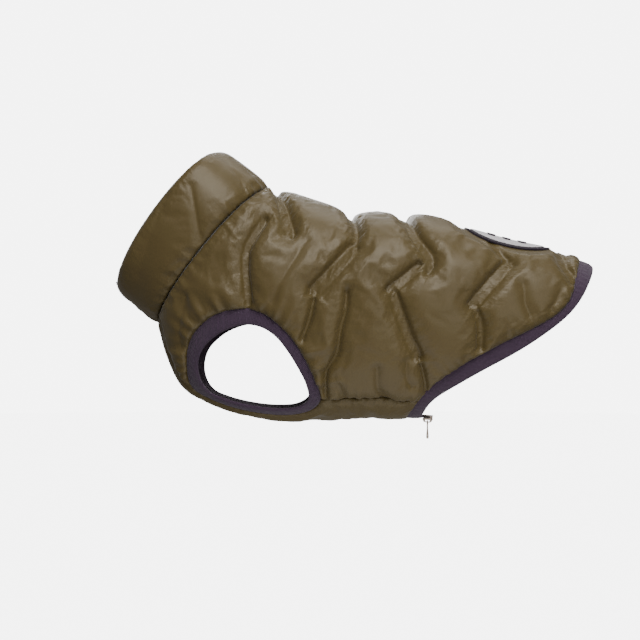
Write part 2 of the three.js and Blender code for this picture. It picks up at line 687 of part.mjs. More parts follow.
function badgeLayer(outline, below, thickness) {
  return clothPiece({
    outline,
    spacing: GRID.panel,
    liningSpacing: GRID.panel,
    raise: () => 0,
    base: () => below + thickness,
    wall: thickness,
  });
}

function badgeBar({ offset, width }) {
  const reach = BADGE.halfAngle * BADGE_BARS.reach;
  const side = (end) => resample([-1, 0, 1].map((turn) => (
    [BADGE.station + offset + (end * width) / 2, turn * reach]
  )), GRID.edge);
  return loop(side(-1), back(side(1)));
}

// Zip
function zipTape(side) {
  const from = rimStation(ZIP_ANGLE) + ZIP_BOX.length * STATION_PER_BELLY_MM + SEAM_GAP * 2;
  const to = TAPE.endStation;
  const middle = SEAM_GAP / 2 / TAPE.width;
  const bead = TAPE.beadWidth / TAPE.width;
  const outside = 1 - middle * 2;
  const profile = [
    { across: middle, lift: -TAPE.thickness },
    { across: middle, lift: TAPE.beadHeight },
    { across: bead, lift: TAPE.beadHeight },
    { across: bead + middle * 2, lift: 0 },
    { across: outside, lift: 0 },
    { across: outside, lift: -TAPE.thickness },
  ];
  const steps = Math.round((to - from) / TAPE.step);
  const corners = [];
  for (let i = 0; i <= steps; i += 1) {
    const station = from + ((to - from) * i) / steps;
    for (const { across, lift } of profile) {
      const angle = side * (180 - ZIP_HALF_ANGLE * across);
      corners.push(bodyPoint(station, angle).addScaledVector(bodyNormal(station, angle), lift));
    }
  }
  return geometryOf(corners, tubeFaces(profile.length, steps, side < 0));
}

// Faces of a closed tube whose rings follow one another, with a fan of faces at each end.
function tubeFaces(n, steps, reversed) {
  const faces = [];
  for (let i = 0; i < steps; i += 1) {
    for (let j = 0; j < n; j += 1) {
      const [a, b] = [i * n + j, i * n + ((j + 1) % n)];
      faces.push([a, b, b + n], [a, b + n, a + n]);
    }
  }
  for (let j = 1; j < n - 1; j += 1) {
    faces.push([0, j + 1, j]);
    faces.push([steps * n, steps * n + j, steps * n + j + 1]);
  }
  return reversed ? faces.map(back) : faces;
}

// Boxes and prisms joined into one solid.
function box(length, width, height, x, y, z) {
  return new THREE.BoxGeometry(length, width, height).translate(x, y, z);
}

function solid(geometry) {
  const bare = geometry.clone();
  bare.deleteAttribute('normal');
  bare.deleteAttribute('uv');
  const merged = mergeVertices(bare, WELD);
  return new wasm.Manifold(new wasm.Mesh({
    numProp: 3,
    vertProperties: new Float32Array(merged.attributes.position.array),
    triVerts: new Uint32Array(merged.index.array),
  }));
}

function joined(pieces, cuts = []) {
  let whole = solid(pieces[0]);
  for (const piece of pieces.slice(1)) whole = whole.add(solid(piece));
  for (const cut of cuts) whole = whole.subtract(solid(cut));
  const { vertProperties, triVerts } = whole.getMesh();
  const geometry = new THREE.BufferGeometry();
  geometry.setAttribute('position', new THREE.BufferAttribute(vertProperties, 3));
  geometry.setIndex(new THREE.BufferAttribute(triVerts, 1));
  const flat = geometry.toNonIndexed();
  flat.computeVertexNormals();
  return flat;
}

// A flat plate with a rounded outline, lying in X and Y, thick in Z.
function plate(outline, thickness, z) {
  const sizes = { depth: thickness, bevelEnabled: false, curveSegments: PLATE_CURVE_SEGMENTS };
  const geometry = new THREE.ExtrudeGeometry(outline, sizes);
  return geometry.translate(0, 0, z);
}

function sliderOutline() {
  const [half, nose] = [SLIDER.width / 2, SLIDER.width * SLIDER.noseShare];
  const shoulder = SLIDER.length * SLIDER.shoulderShare;
  const shape = new THREE.Shape();
  shape.moveTo(-SLIDER.length / 2, -nose);
  shape.lineTo(shoulder, -half);
  shape.quadraticCurveTo(SLIDER.length / 2, -half, SLIDER.length / 2, 0);
  shape.quadraticCurveTo(SLIDER.length / 2, half, shoulder, half);
  shape.lineTo(-SLIDER.length / 2, nose);
  return shape;
}

const OUTER_PLATE = SLIDER.throat / 2;
const BRIDGE_FLOOR = OUTER_PLATE + SLIDER.plate;
const PIVOT_LIFT = BRIDGE_FLOOR + BRIDGE.gap / 2;

// Made with the outer face up; the coat's underside turns it over.
function zipSlider() {
  const height = BRIDGE.gap + BRIDGE.bar;
  const postAhead = (SLIDER.length - SLIDER.post) / 2 - SLIDER.postInset;
  const leg = (end) => box(
    BRIDGE.bar, BRIDGE.width, height + JOIN_OVERLAP,
    end * (BRIDGE.length - BRIDGE.bar) / 2, 0, BRIDGE_FLOOR + (height - JOIN_OVERLAP) / 2,
  );
  return joined([
    plate(sliderOutline(), SLIDER.plate, OUTER_PLATE),
    plate(sliderOutline(), SLIDER.plate, -OUTER_PLATE - SLIDER.plate),
    box(SLIDER.post, SLIDER.post, SLIDER.throat + JOIN_OVERLAP, postAhead, 0, 0),
    leg(-1),
    leg(1),
    box(BRIDGE.length, BRIDGE.width, BRIDGE.bar, 0, 0, BRIDGE_FLOOR + BRIDGE.gap + BRIDGE.bar / 2),
  ]);
}

// Made with its pin on the Y axis and its length down -Z.
function zipPull() {
  const half = TAB.width / 2;
  const radius = TAB.width * TAB.cornerShare;
  const [waist, waistDown] = [half * TAB.waistShare, -TAB.length * TAB.waistPlace];
  const shape = new THREE.Shape();
  shape.moveTo(-half + TAB.chamfer, TAB.pin);
  shape.lineTo(half - TAB.chamfer, TAB.pin);
  shape.lineTo(half, TAB.pin - TAB.chamfer);
  shape.lineTo(waist, waistDown);
  shape.lineTo(half, -TAB.length + radius);
  shape.quadraticCurveTo(half, -TAB.length, half - radius, -TAB.length);
  shape.lineTo(-half + radius, -TAB.length);
  shape.quadraticCurveTo(-half, -TAB.length, -half, -TAB.length + radius);
  shape.lineTo(-waist, waistDown);
  shape.lineTo(-half, TAB.pin - TAB.chamfer);
  const slab = plate(shape, TAB.thickness, -TAB.thickness / 2).rotateX(Math.PI / 2).rotateZ(Math.PI / 2);
  const opening = TAB.windowLength - TAB.pin;
  const window = box(TAB.thickness * 3, TAB.windowWidth, opening, 0, 0, -TAB.pin - opening / 2);
  return joined([slab], [window]);
}

const zipBox = () => box(ZIP_BOX.length, ZIP_BOX.width, ZIP_BOX.height, 0, 0, 0);

// Seats a mesh on the coat's underside: its X along the zip towards the tail and its Z outwards.
function seat(mesh, station, lift = 0) {
  const out = bodyNormal(station, 180);
  const across = new THREE.Vector3(0, -1, 0);
  const along = across.clone().cross(out);
  mesh.quaternion.setFromRotationMatrix(new THREE.Matrix4().makeBasis(along, across, out));
  mesh.position.copy(bodyPoint(station, 180)).addScaledVector(out, lift);
}

add('back_panel', backPanel(), COLOURS.shell);
add('collar', collar(), COLOURS.shell);
for (const [name, side] of [['left', -1], ['right', 1]]) {
  add(`belly_panel_${name}`, bellyPanel(side), COLOURS.shell);
  add(`armhole_binding_${name}`, armholeBinding(side), COLOURS.binding);
  add(`zip_tape_${name}`, zipTape(side), COLOURS.tape);
}
add('hem_binding', hemBinding(), COLOURS.binding);
const groundBelow = BADGE.pad + SEAM_GAP;
const faceBelow = groundBelow + BADGE.thickness + SEAM_GAP;
const barsBelow = faceBelow + BADGE_FACE.thickness + SEAM_GAP;
add('badge_ground', badgeLayer(badgeRing(1), groundBelow, BADGE.thickness), COLOURS.binding);
add('badge_face', badgeLayer(badgeRing(BADGE_FACE.share), faceBelow, BADGE_FACE.thickness), COLOURS.badge);
for (const row of BADGE_BARS.rows) {
  add(`badge_bar_${row.name}`, badgeLayer(badgeBar(row), barsBelow, BADGE_BARS.thickness), COLOURS.binding);
}
const boxStation = rimStation(ZIP_ANGLE) + (ZIP_BOX.length * STATION_PER_BELLY_MM) / 2;
seat(add('zip_box', zipBox(), COLOURS.metal), boxStation);
seat(add('zip_slider', zipSlider(), COLOURS.metal), SLIDER.station);
const pull = add('zip_pull', zipPull(), COLOURS.metal);
pull.position.copy(bodyPoint(SLIDER.station, 180));
pull.position.addScaledVector(bodyNormal(SLIDER.station, 180), PIVOT_LIFT);

export default group;
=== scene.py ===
"""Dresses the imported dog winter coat: satin panels over padding, knitted bindings, the zip and the badge.

Every cloth piece is laid out on one body form, addressed by station and angle. Station is millimetres
along the middle of the body, from the collar seam towards the tail. Angle is degrees round it, from the
spine (0) to the belly (180), and negative on the side towards -Y. Sizes are in millimetres and become
metres where a mesh is made.
"""

import sys
import logging
import math
import time
from dataclasses import dataclass, field
from enum import Enum
from typing import Any, Callable, Iterable, NamedTuple, Sequence

import bmesh
import bpy
import numpy as np
from mathutils import Matrix, Vector
from mathutils.geometry import delaunay_2d_cdt
from mathutils.kdtree import KDTree


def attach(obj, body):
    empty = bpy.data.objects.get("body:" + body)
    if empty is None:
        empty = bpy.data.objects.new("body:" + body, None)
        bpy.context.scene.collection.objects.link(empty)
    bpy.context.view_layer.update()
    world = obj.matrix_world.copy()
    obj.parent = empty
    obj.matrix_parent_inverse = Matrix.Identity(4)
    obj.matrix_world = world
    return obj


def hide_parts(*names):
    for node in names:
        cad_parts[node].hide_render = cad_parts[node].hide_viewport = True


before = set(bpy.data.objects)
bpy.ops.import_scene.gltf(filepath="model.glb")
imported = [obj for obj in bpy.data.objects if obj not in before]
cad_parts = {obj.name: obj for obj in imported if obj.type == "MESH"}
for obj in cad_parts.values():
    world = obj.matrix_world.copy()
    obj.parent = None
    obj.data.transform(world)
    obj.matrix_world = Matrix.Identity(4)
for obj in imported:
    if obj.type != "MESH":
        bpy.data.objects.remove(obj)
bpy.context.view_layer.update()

log = logging.getLogger("dog_coat")
Array = np.ndarray
Triple = tuple[float, float, float]
Colour = Triple
MM = 0.001
TINY = 1e-9


# The body form

class Ring(NamedTuple):
    """One section of the body that the coat is cut for: its spine and belly points and half its width."""

    place: str
    spine_x: float
    spine_z: float
    belly_x: float
    belly_z: float
    half_width: float


RINGS = (
    Ring("ahead of the collar", -126, 83, -241, -71, 64),
    Ring("collar rim", -97, 62, -215, -96, 68),
    Ring("collar middle", -68, 41, -191, -116, 72),
    Ring("collar seam", -38, 19, -167, -140, 72),
    Ring("base of the neck", -19, 11, -154, -181, 79),
    Ring("withers", 0, 3, -137, -214, 85),
    Ring("shoulder", 24, -5, -108, -232, 89),
    Ring("elbow", 54, -14, -66, -246, 92),
    Ring("chest", 86, -16, -20, -253, 93),
    Ring("ribs", 120, -16, 24, -253, 92),
    Ring("last ribs", 162, -22, 58, -251, 90),
    Ring("loin", 204, -32, 83, -250, 87),
    Ring("waist", 252, -45, 103, -251, 83),
    Ring("hips", 300, -55, 119, -251, 79),
    Ring("hem", 334, -65, 132, -252, 76),
    Ring("hem edge", 360, -76, 154, -252.5, 74),
    Ring("behind the hem", 408, -102, 194, -257, 70),
)
SEAM_RING = "collar seam"


def smooth(knots: Array, values: Array, at: Array) -> Array:
    """Interpolates values that stand at knots with one smooth cubic between each pair.

    Args:
        knots: Rising places of the values.
        values: One value for each knot.
        at: Places to read, of any shape.

    Returns:
        The values at those places.
    """
    slopes = np.empty_like(values, dtype=float)
    slopes[1:-1] = (values[2:] - values[:-2]) / (knots[2:] - knots[:-2])
    slopes[0] = (values[1] - values[0]) / (knots[1] - knots[0])
    slopes[-1] = (values[-1] - values[-2]) / (knots[-1] - knots[-2])
    row = np.clip(np.searchsorted(knots, at, side="left") - 1, 0, len(knots) - 2)
    span = knots[row + 1] - knots[row]
    u = (at - knots[row]) / span
    rise = values[row + 1] - values[row]
    a = slopes[row] * span - rise
    b = rise - slopes[row + 1] * span
    return values[row] + u * rise + u * (1 - u) * ((1 - u) * a + u * b)


def run_along(points: Array) -> Array:
    """The length run at each point of a broken line, from 0 at its start."""
    return np.concatenate([[0.0], np.cumsum(np.linalg.norm(np.diff(points, axis=0), axis=1))])


def squared(turns: Array, squareness: float) -> tuple[Array, Array]:
    """Cosines and sines of angles, pressed towards a square's; a squareness of 2 gives a circle."""
    c, s = np.cos(turns), np.sin(turns)
    power = 2 / squareness
    return np.sign(c) * np.abs(c) ** power, np.sign(s) * np.abs(s) ** power


def between(here: Sequence[int], there: Sequence[int], is_loop: bool) -> list[tuple[int, ...]]:
    """Four-cornered faces between two rows of corners.

    Args:
        here: Corner numbers of one row.
        there: Corner numbers of the next row, as many as in the first.
        is_loop: Whether each row's ends meet.

    Returns:
        The faces, as corner numbers.
    """
    count = len(here)
    ends = range(count if is_loop else count - 1)
    return [(here[k], here[(k + 1) % count], there[(k + 1) % count], there[k]) for k in ends]


@dataclass
class BodyForm:
    """The surface that the coat's seams lie on."""

    rings: tuple[Ring, ...] = RINGS
    back_fullness: float = 0.08
    side_fullness: float = 0.22
    probe: float = 0.5
    stations: Array = field(init=False)
    columns: dict[str, Array] = field(init=False)

    def __post_init__(self) -> None:
        """Works out each ring's station along the middle of the body."""
        table = np.array([ring[1:] for ring in self.rings], float)
        middle = (table[:, 0:2] + table[:, 2:4]) / 2
        run = run_along(middle)
        seam = [ring.place for ring in self.rings].index(SEAM_RING)
        self.stations = run - run[seam]
        self.columns = dict(zip(Ring._fields[1:], table.T))

    def point(self, station: Array, angle: Array) -> Array:
        """Points of the body, in millimetres.

        Args:
            station: Places along the body.
            angle: Degrees round it.

        Returns:
            An array of the same shape with a last axis of three.
        """
        station, angle = np.broadcast_arrays(np.asarray(station, float), np.asarray(angle, float))
        at = {name: smooth(self.stations, column, station) for name, column in self.columns.items()}
        turn = np.cos(np.radians(angle))
        down = (1 - turn) / 2
        bulge = np.sin(np.radians(angle)) * (1 + self.back_fullness * turn)
        bulge = bulge * (1 + self.side_fullness * turn**2)
        x = at["spine_x"] * (1 - down) + at["belly_x"] * down
        z = at["spine_z"] * (1 - down) + at["belly_z"] * down
        return np.stack([x, at["half_width"] * bulge, z], axis=-1)

    def normal(self, station: Array, angle: Array) -> Array:
        """Outward directions of the body's surface, in the shape of point's result."""
        station, angle = np.asarray(station, float), np.asarray(angle, float)
        along = self.point(station + self.probe, angle) - self.point(station - self.probe, angle)
        around = self.point(station, angle + self.probe) - self.point(station, angle - self.probe)
        out = np.cross(along, around)
        return out / np.linalg.norm(out, axis=-1, keepdims=True)

    def lifted(self, path: Array, lift: Array | float) -> Array:
        """Points above a path of station and angle, by a lift along the surface's normal."""
        station, angle = path[..., 0], path[..., 1]
        return self.point(station, angle) + self.normal(station, angle) * np.asarray(lift)[..., None]


BODY = BodyForm()


# Edges and seams, as paths of station and angle

class ArmholeRow(NamedTuple):
    """A place on the leg hole: the cloth's edge, and the free edge of its binding."""

    cloth_station: float
    cloth_angle: float
    free_station: float
    free_angle: float


ARMHOLE = (
    ArmholeRow(67, 163, 84, 157),
    ArmholeRow(50, 148, 68, 148),
    ArmholeRow(39, 134, 57, 137),
    ArmholeRow(39, 119, 54, 126),
    ArmholeRow(49, 105, 61, 113),
    ArmholeRow(68, 96, 76, 104),
    ArmholeRow(90, 94, 95, 101),
    ArmholeRow(113, 97, 115, 103),
    ArmholeRow(135, 103, 134, 109),
    ArmholeRow(157, 113, 153, 118),
    ArmholeRow(177, 126, 170, 129),
    ArmholeRow(192, 141, 180, 142),
    ArmholeRow(186, 154, 172, 151),
    ArmholeRow(164, 162, 152, 155),
    ArmholeRow(130, 165, 125, 157),
    ArmholeRow(96, 166, 101, 158),
)
ARMHOLE_BACK_ROW = 11


class HemRow(NamedTuple):
    """A place on the hem: an angle, and the stations of the cloth's edge and the binding's free edge."""

    angle: float
    cloth: float
    free: float


HEM = (
    HemRow(0, 364, 377),
    HemRow(30, 370, 386),
    HemRow(60, 390, 399),
    HemRow(76, 386, 400),
    HemRow(95, 368, 394),
    HemRow(120, 345, 376),
    HemRow(138, 341, 366),
    HemRow(158, 351, 374),
    HemRow(180, 362, 385),
)


@dataclass(frozen=True)
class Pattern:
    """The cut of the coat: where its edges and seams run."""

    rim_station: float = -69
    rim_bow: float = -17
    seam_bow: float = -14
    chest_seam_angle: float = 156
    chest_seam_bend: tuple[float, float] = (25, 158)
    belly_seam_angle: float = 141
    zip_half_angle: float = 4.4
    curve_points: int = 12

    @property
    def zip_angle(self) -> float:
        """The angle at which the panels end beside the zip."""
        return 180 - self.zip_half_angle

    def rim(self, angle: Array) -> Array:
        """Stations of the collar's free edge."""
        return self.rim_station + self.rim_bow * np.abs(np.sin(np.radians(angle)))

    def collar_seam(self, angle: Array) -> Array:
        """Stations of the seam between collar and body."""
        return self.seam_bow * np.abs(np.sin(np.radians(angle)))

    def hem(self, angle: Array, free: bool = False) -> Array:
        """Stations of the hem, at the cloth's edge or at the binding's free edge."""
        table = np.array(HEM, float)
        return smooth(table[:, 0], table[:, 2 if free else 1], np.abs(angle))

    def round_path(self, edge: Callable[[Array], Array], start: float, end: float) -> Array:
        """A path that runs round the body along one of the edges above."""
        angle = np.linspace(start, end, max(2, int(abs(end - start)) + 1))
        return np.stack([edge(angle), angle], axis=-1)

    def armhole(self, free: bool = False, start: int = 0, rows: int = len(ARMHOLE)) -> Array:
        """A run of the leg hole's closed curve, along the cloth's edge or the binding's free edge.

        Args:
            free: True for the binding's free edge.
            start: The table's row where the run starts.
            rows: How many rows it runs over.

        Returns:
            The path, with the last point at the row where it ends.
        """
        table = np.array(ARMHOLE, float)[:, 2:4] if free else np.array(ARMHOLE, float)[:, 0:2]
        u = np.linspace(0, 1, self.curve_points, endpoint=False)[:, None]
        found = []
        for row in range(start, start + rows):
            a, b, c, d = (table[(row + step) % len(table)] for step in (-1, 0, 1, 2))
            bend = 2 * a - 5 * b + 4 * c - d + u * (3 * (b - c) + d - a)
            found.append(b + 0.5 * u * (c - a + u * bend))
        found.append(table[(start + rows) % len(table)][None])
        return np.concatenate(found)

    def chest_seam(self) -> Array:
        """The seam from the collar to the low front of the leg hole."""
        top = (float(self.collar_seam(np.array(self.chest_seam_angle))), self.chest_seam_angle)
        return np.array([top, self.chest_seam_bend, ARMHOLE[0][:2]], float)

    def belly_seam(self) -> Array:
        """The seam from the low back of the leg hole to the hem."""
        end = (float(self.hem(np.array(self.belly_seam_angle))), self.belly_seam_angle)
        return np.array([ARMHOLE[ARMHOLE_BACK_ROW][:2], end], float)

    def lower_edge(self) -> Array:
        """The whole lower edge of the back panel's side, from the collar seam to the hem."""
        arch = self.armhole(rows=ARMHOLE_BACK_ROW)
        return np.concatenate([self.chest_seam(), arch[1:], self.belly_seam()[1:]])


PATTERN = Pattern()


def even(path: Array, count: int) -> Array:
    """Sets points at even steps of real length along a path on the body.

    Args:
        path: The path's stations and angles.
        count: How many points to set.

    Returns:
        The new path.
    """
    run = run_along(BODY.point(path[:, 0], path[:, 1]))
    want = np.linspace(0, run[-1], count)
    return np.stack([np.interp(want, run, path[:, i]) for i in range(2)], axis=-1)


def length_of(path: Array) -> float:
    """Real length of a path on the body, in millimetres."""
    spots = BODY.point(path[:, 0], path[:, 1])
    return float(np.linalg.norm(np.diff(spots, axis=0), axis=1).sum())


def mirrored(path: Array) -> Array:
    """The same path on the coat's other side."""
    return path * np.array([1, -1])


def away_from(spots: Array, line: Array) -> Array:
    """Distances from many points to one broken line, in millimetres.

    Args:
        spots: Points, one in each row.
        line: The line's corners, one in each row.

    Returns:
        One distance for each point.
    """
    least = np.full(len(spots), np.inf)
    for a, b in zip(line[:-1], line[1:]):
        along = b - a
        share = np.clip((spots - a) @ along / max(float(along @ along), TINY), 0, 1)
        least = np.minimum(least, np.linalg.norm(spots - a - share[:, None] * along, axis=1))
    return least


# Quilting and folds

class Side(Enum):
    """The coat's sides, by the sign of their angles."""

    NEAR = -1
    FAR = 1

    @property
    def word(self) -> str:
        """The side's name in the names of pieces."""
        return "left" if self is Side.NEAR else "right"


class Band(NamedTuple):
    """A flat stitched band between puffs: half its width and its path of station and angle."""

    place: str
    half_width: float
    path: tuple[tuple[float, float], ...]


BANDS = (
    Band("withers", 7, ((5, 0), (20, 13), (46, 32), (70, 47))),
    Band("shoulder", 4, ((30, 48), (31, 60), (34, 70), (46, 78), (60, 85), (72, 92))),
    Band("ribs", 3.5, ((130, 0), (134, 13), (148, 31), (157, 47))),
    Band("ribs", 8, ((156, 48), (147, 60), (134, 75))),
    Band("ribs", 2, ((135, 77), (142, 90), (145, 102))),
    Band("side", 2, ((171, 75), (177, 83), (182, 96), (189, 109), (186, 121), (197, 138))),
    Band("loin", 7, ((202, 0), (210, 18), (224, 36), (246, 51), (248, 58))),
    Band("loin", 6, ((240, 58), (230, 67), (221, 73))),
    Band("loin", 6, ((226, 76), (243, 87), (265, 99), (286, 108))),
    Band("loin", 2, ((298, 113), (338, 132))),
    Band("hips", 5, ((293, 26), (305, 34), (316, 41))),
    Band("hips", 7, ((315, 42), (312, 59), (310, 73))),
    Band("hips", 4, ((311, 74), (330, 84), (351, 97))),
    Band("hem", 6, ((341, 0), (346, 14), (356, 30), (376, 42))),
)
FAR_SHIFT = 5
FAR_TURN = 20


def on_side(path: Sequence[tuple[float, float]], side: Side) -> Array:
    """A band's or fold's path on one side; on the far side it lies a little forward or back."""
    spots = np.array(path, float)
    if side is Side.NEAR:
        return mirrored(spots)
    return np.stack([spots[:, 0] + FAR_SHIFT * np.sin(spots[:, 1] / FAR_TURN), spots[:, 1]], axis=-1)


class Fold(NamedTuple):
    """A crease pressed into the padding: its depth, its width and its path."""

    place: str
    depth: float
    width: float
    path: tuple[tuple[float, float], ...]


BODY_FOLDS = (
    Fold("above the elbow", 3.5, 6, ((95, 50), (92, 70), (96, 86))),
    Fold("front of the chest", 3.5, 5.5, ((10, 118), (24, 132), (34, 140))),
    Fold("low on the ribs", 5, 5, ((242, 116), (256, 130), (273, 138))),
    Fold("beside the low ribs", 3.5, 4, ((276, 112), (290, 122), (306, 127))),
    Fold("behind the elbow", 3.5, 4, ((206, 128), (214, 136), (226, 140))),
    Fold("hip", 3.5, 6, ((338, 55), (352, 66), (366, 72))),
    Fold("hem corner", 3, 5, ((372, 52), (380, 66))),
    Fold("top of the hem", 4.5, 11, ((352, 0), (354, 12), (358, 24))),
)
COLLAR_FOLDS = (
    Fold("front of the collar", 3.5, 15, ((-82, 78), (-68, 106), (-54, 134))),
    Fold("middle of the collar", 1.6, 9, ((-66, 62), (-44, 74), (-26, 84))),
    Fold("nape", 1.6, 10, ((-64, 22), (-36, 30), (-12, 40))),
)
FOLD_SHARPNESS = 1.25
PATH_STEP = 6


def curved(path: Array) -> Array:
    """A smooth curve through the points of a path."""
    if len(path) < 3:
        return path
    knots = np.arange(len(path), dtype=float)
    at = np.linspace(0, knots[-1], 8 * len(path))
    return np.stack([smooth(knots, path[:, i], at) for i in range(2)], axis=-1)


def line_of(path: Array) -> Array:
    """Real points, close together, of the smooth surface line through a path."""
    path = curved(np.asarray(path, float))
    count = max(2, int(length_of(path) / PATH_STEP) + 1)
    dense = even(path, count)
    return BODY.point(dense[:, 0], dense[:, 1])


# Skins and meshes

UNROLL = np.array([1.0, 1.85])


def towards_spine(path: Array, line: Array) -> Array:
    """Signed distances on the unrolled plane from a line, above zero on the side nearer the spine.

    Args:
        path: Places to measure, as station and angle on the line's own side of the coat.
        line: The line's path of station and angle.

    Returns:
        One distance in millimetres for each place.
    """
    spots, corners = np.abs(path) * UNROLL, np.abs(line) * UNROLL
    spots[:, 0] = path[:, 0]
    upwards = 1.0 if corners[-1, 0] < corners[0, 0] else -1.0
    least, found = np.full(len(spots), np.inf), np.zeros(len(spots))
    for a, b in zip(corners[:-1], corners[1:]):
        along = b - a
        share = np.clip((spots - a) @ along / max(float(along @ along), TINY), 0, 1)
        away = spots - a - share[:, None] * along
        far = np.linalg.norm(away, axis=1)
        turn = along[0] * (spots[:, 1] - a[1]) - along[1] * (spots[:, 0] - a[0])
        nearer = far < least
        found[nearer] = (np.sign(turn) * far * upwards)[nearer]
        least = np.minimum(least, far)
    return found


@dataclass
class Skin:
    """One layer laid out flat: its points, edge points first, its faces, and the count of edge points."""

    path: Array
    faces: Array
    edge_count: int


def inside(spots: Array, outline: Array) -> Array:
    """Says which points of a plane lie inside a closed outline.

    Args:
        spots: Points, one in each row.
        outline: The outline's corners in order.

    Returns:
        A truth value for each point.
    """
    odd = np.zeros(len(spots), bool)
    for a, b in zip(outline, np.roll(outline, -1, axis=0)):
        if a[1] == b[1]:
            continue
        crosses = (a[1] > spots[:, 1]) != (b[1] > spots[:, 1])
        odd ^= crosses & (spots[:, 0] < (b[0] - a[0]) * (spots[:, 1] - a[1]) / (b[1] - a[1]) + a[0])
    return odd


def near(spots: Array, targets: Array) -> Array:
    """Distance from each point to the nearest of the target points."""
    tree = KDTree(len(targets))
    for i, target in enumerate(targets):
        tree.insert((*target, 0)[:3], i)
    tree.balance()
    return np.array([tree.find((*spot, 0)[:3])[2] for spot in spots])


def set_off(path: Array, distance: float) -> Array:
    """A path moved sideways over the surface by a real distance.

    Args:
        path: The path of station and angle.
        distance: How far it moves, in millimetres; above zero is to the left of its run.

    Returns:
        The moved path.
    """
    here = BODY.point(path[:, 0], path[:, 1])
    steps = [BODY.point(path[:, 0] + 1, path[:, 1]) - here, BODY.point(path[:, 0], path[:, 1] + 1) - here]
    scale = np.stack([np.linalg.norm(step, axis=1) for step in steps], axis=-1)
    along = np.gradient(path, axis=0) * scale
    side = np.stack([-along[:, 1], along[:, 0]], axis=-1)
    side /= np.linalg.norm(side, axis=1, keepdims=True)
    return path + side * distance / scale


def thinned(spots: Array, cell: float) -> Array:
    """Keeps one of the points in each square cell of a plane."""
    _, first = np.unique(np.floor(spots / cell).astype(int), axis=0, return_index=True)
    return spots[np.sort(first)]


EDGE_CLEARANCE = 0.6
EDGE_LEAST_GAP = 0.7
MARK_CELL = 0.8
MARK_TO_EDGE = 1.5
MARK_CLEARANCE = 0.62
SAME_SPOT = 1e-6


def hexagonal_field(low: Array, high: Array, spacing: float) -> Array:
    """Evenly spaced points that fill a box of a plane, each row half a step off the last."""
    row_gap = spacing * math.sqrt(0.75)
    x, y = np.meshgrid(np.arange(low[0], high[0], spacing), np.arange(low[1], high[1], row_gap))
    x = x + (np.arange(len(x)) % 2)[:, None] * spacing / 2
    return np.stack([x.ravel(), y.ravel()], axis=-1)


def lay_out(loops: Sequence[Array], spacing: float, marked: Array | None = None) -> Skin:
    """Fills closed loops with an even field of triangles.

    Args:
        loops: The outline first and then any holes, as paths of station and angle.
        spacing: Distance between neighbouring points inside.
        marked: Further places that get a point, such as the edges of stitched bands.

    Returns:
        The laid-out skin, with faces that look outwards.
    """
    edges = [loop * UNROLL for loop in loops]
    rim = np.concatenate(edges)
    field_spots = hexagonal_field(edges[0].min(axis=0), edges[0].max(axis=0), spacing)
    kept = inside(field_spots, edges[0])
    for hole in edges[1:]:
        kept &= ~inside(field_spots, hole)
    field_spots = field_spots[kept]
    edge_gap = min(spacing, float(np.median(np.linalg.norm(np.diff(edges[0], axis=0), axis=1))))
    clearance = EDGE_CLEARANCE * max(edge_gap, spacing * EDGE_LEAST_GAP)
    field_spots = field_spots[near(field_spots, rim) > clearance]
    if marked is not None:
        closer = thinned(marked * UNROLL, MARK_CELL)
        closer = closer[inside(closer, edges[0])]
        closer = closer[near(closer, rim) > MARK_TO_EDGE]
        apart = near(field_spots, closer) > MARK_CLEARANCE * spacing
        field_spots = np.concatenate([closer, field_spots[apart]])
    spots = np.concatenate([rim, field_spots])
    borders: list[tuple[int, int]] = []
    start = 0
    for edge in edges:
        borders += [(start + i, start + (i + 1) % len(edge)) for i in range(len(edge))]
        start += len(edge)
    found = delaunay_2d_cdt([Vector(spot) for spot in spots], borders, [], 0, SAME_SPOT)
    faces = np.array(found[2])
    corners = spots[faces]
    middles = corners.mean(axis=1)
    kept = inside(middles, edges[0])
    for hole in edges[1:]:
        kept &= ~inside(middles, hole)
    faces, corners = faces[kept], corners[kept]
    u, v = corners[:, 1] - corners[:, 0], corners[:, 2] - corners[:, 0]
    wrong = u[:, 0] * v[:, 1] - u[:, 1] * v[:, 0] < 0
    faces[wrong] = faces[wrong][:, ::-1]
    return Skin(spots / UNROLL, faces, len(rim))


def make_mesh(
    name: str,
    corners: Array,
    faces: Iterable[Sequence[int]],
    cloth: Array | None = None,
) -> bpy.types.Object:
    """Makes a smooth mesh object from corners in millimetres.

    Args:
        name: The object's name.
        corners: Points, one in each row.
        faces: Corner numbers of each face.
        cloth: Places of the points on the flat cloth, in millimetres, for its weave and creases.

    Returns:
        The new object.
    """
    mesh = bpy.data.meshes.new(name)
    numbers = [tuple(int(i) for i in face) for face in faces]
    mesh.from_pydata((np.asarray(corners) * MM).tolist(), [], numbers)
    mesh.shade_smooth()
    if cloth is not None:
        layer = mesh.attributes.new("cloth", "FLOAT_VECTOR", "POINT")
        flat = np.zeros((len(corners), 3))
        flat[:, : cloth.shape[1]] = np.asarray(cloth) * MM
        layer.data.foreach_set("vector", flat.ravel())
    mesh.update()
    obj = bpy.data.objects.new(name, mesh)
    bpy.context.scene.collection.objects.link(obj)
    return obj


def dress(
    piece: bpy.types.Object,
    material: bpy.types.Material,
    node: str | None = None,
    body: str = "coat",
) -> bpy.types.Object:
    """Finishes a piece and reports it.

    Args:
        piece: The piece.
        material: Its finish.
        node: The solid that it stands for, if any.
        body: What it rides on.

    Returns:
        The same piece.
    """
    piece.data.materials.append(material)
    if node is not None:
        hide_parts(node)
    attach(piece, body)
    log.info("%s rides on the %s with %d faces", piece.name, body, len(piece.data.polygons))
    return piece


def corners_of(obj: bpy.types.Object) -> Array:
    """The corners of an object's mesh, in metres."""
    flat = np.empty(len(obj.data.vertices) * 3)
    obj.data.vertices.foreach_get("co", flat)
    return flat.reshape(-1, 3)


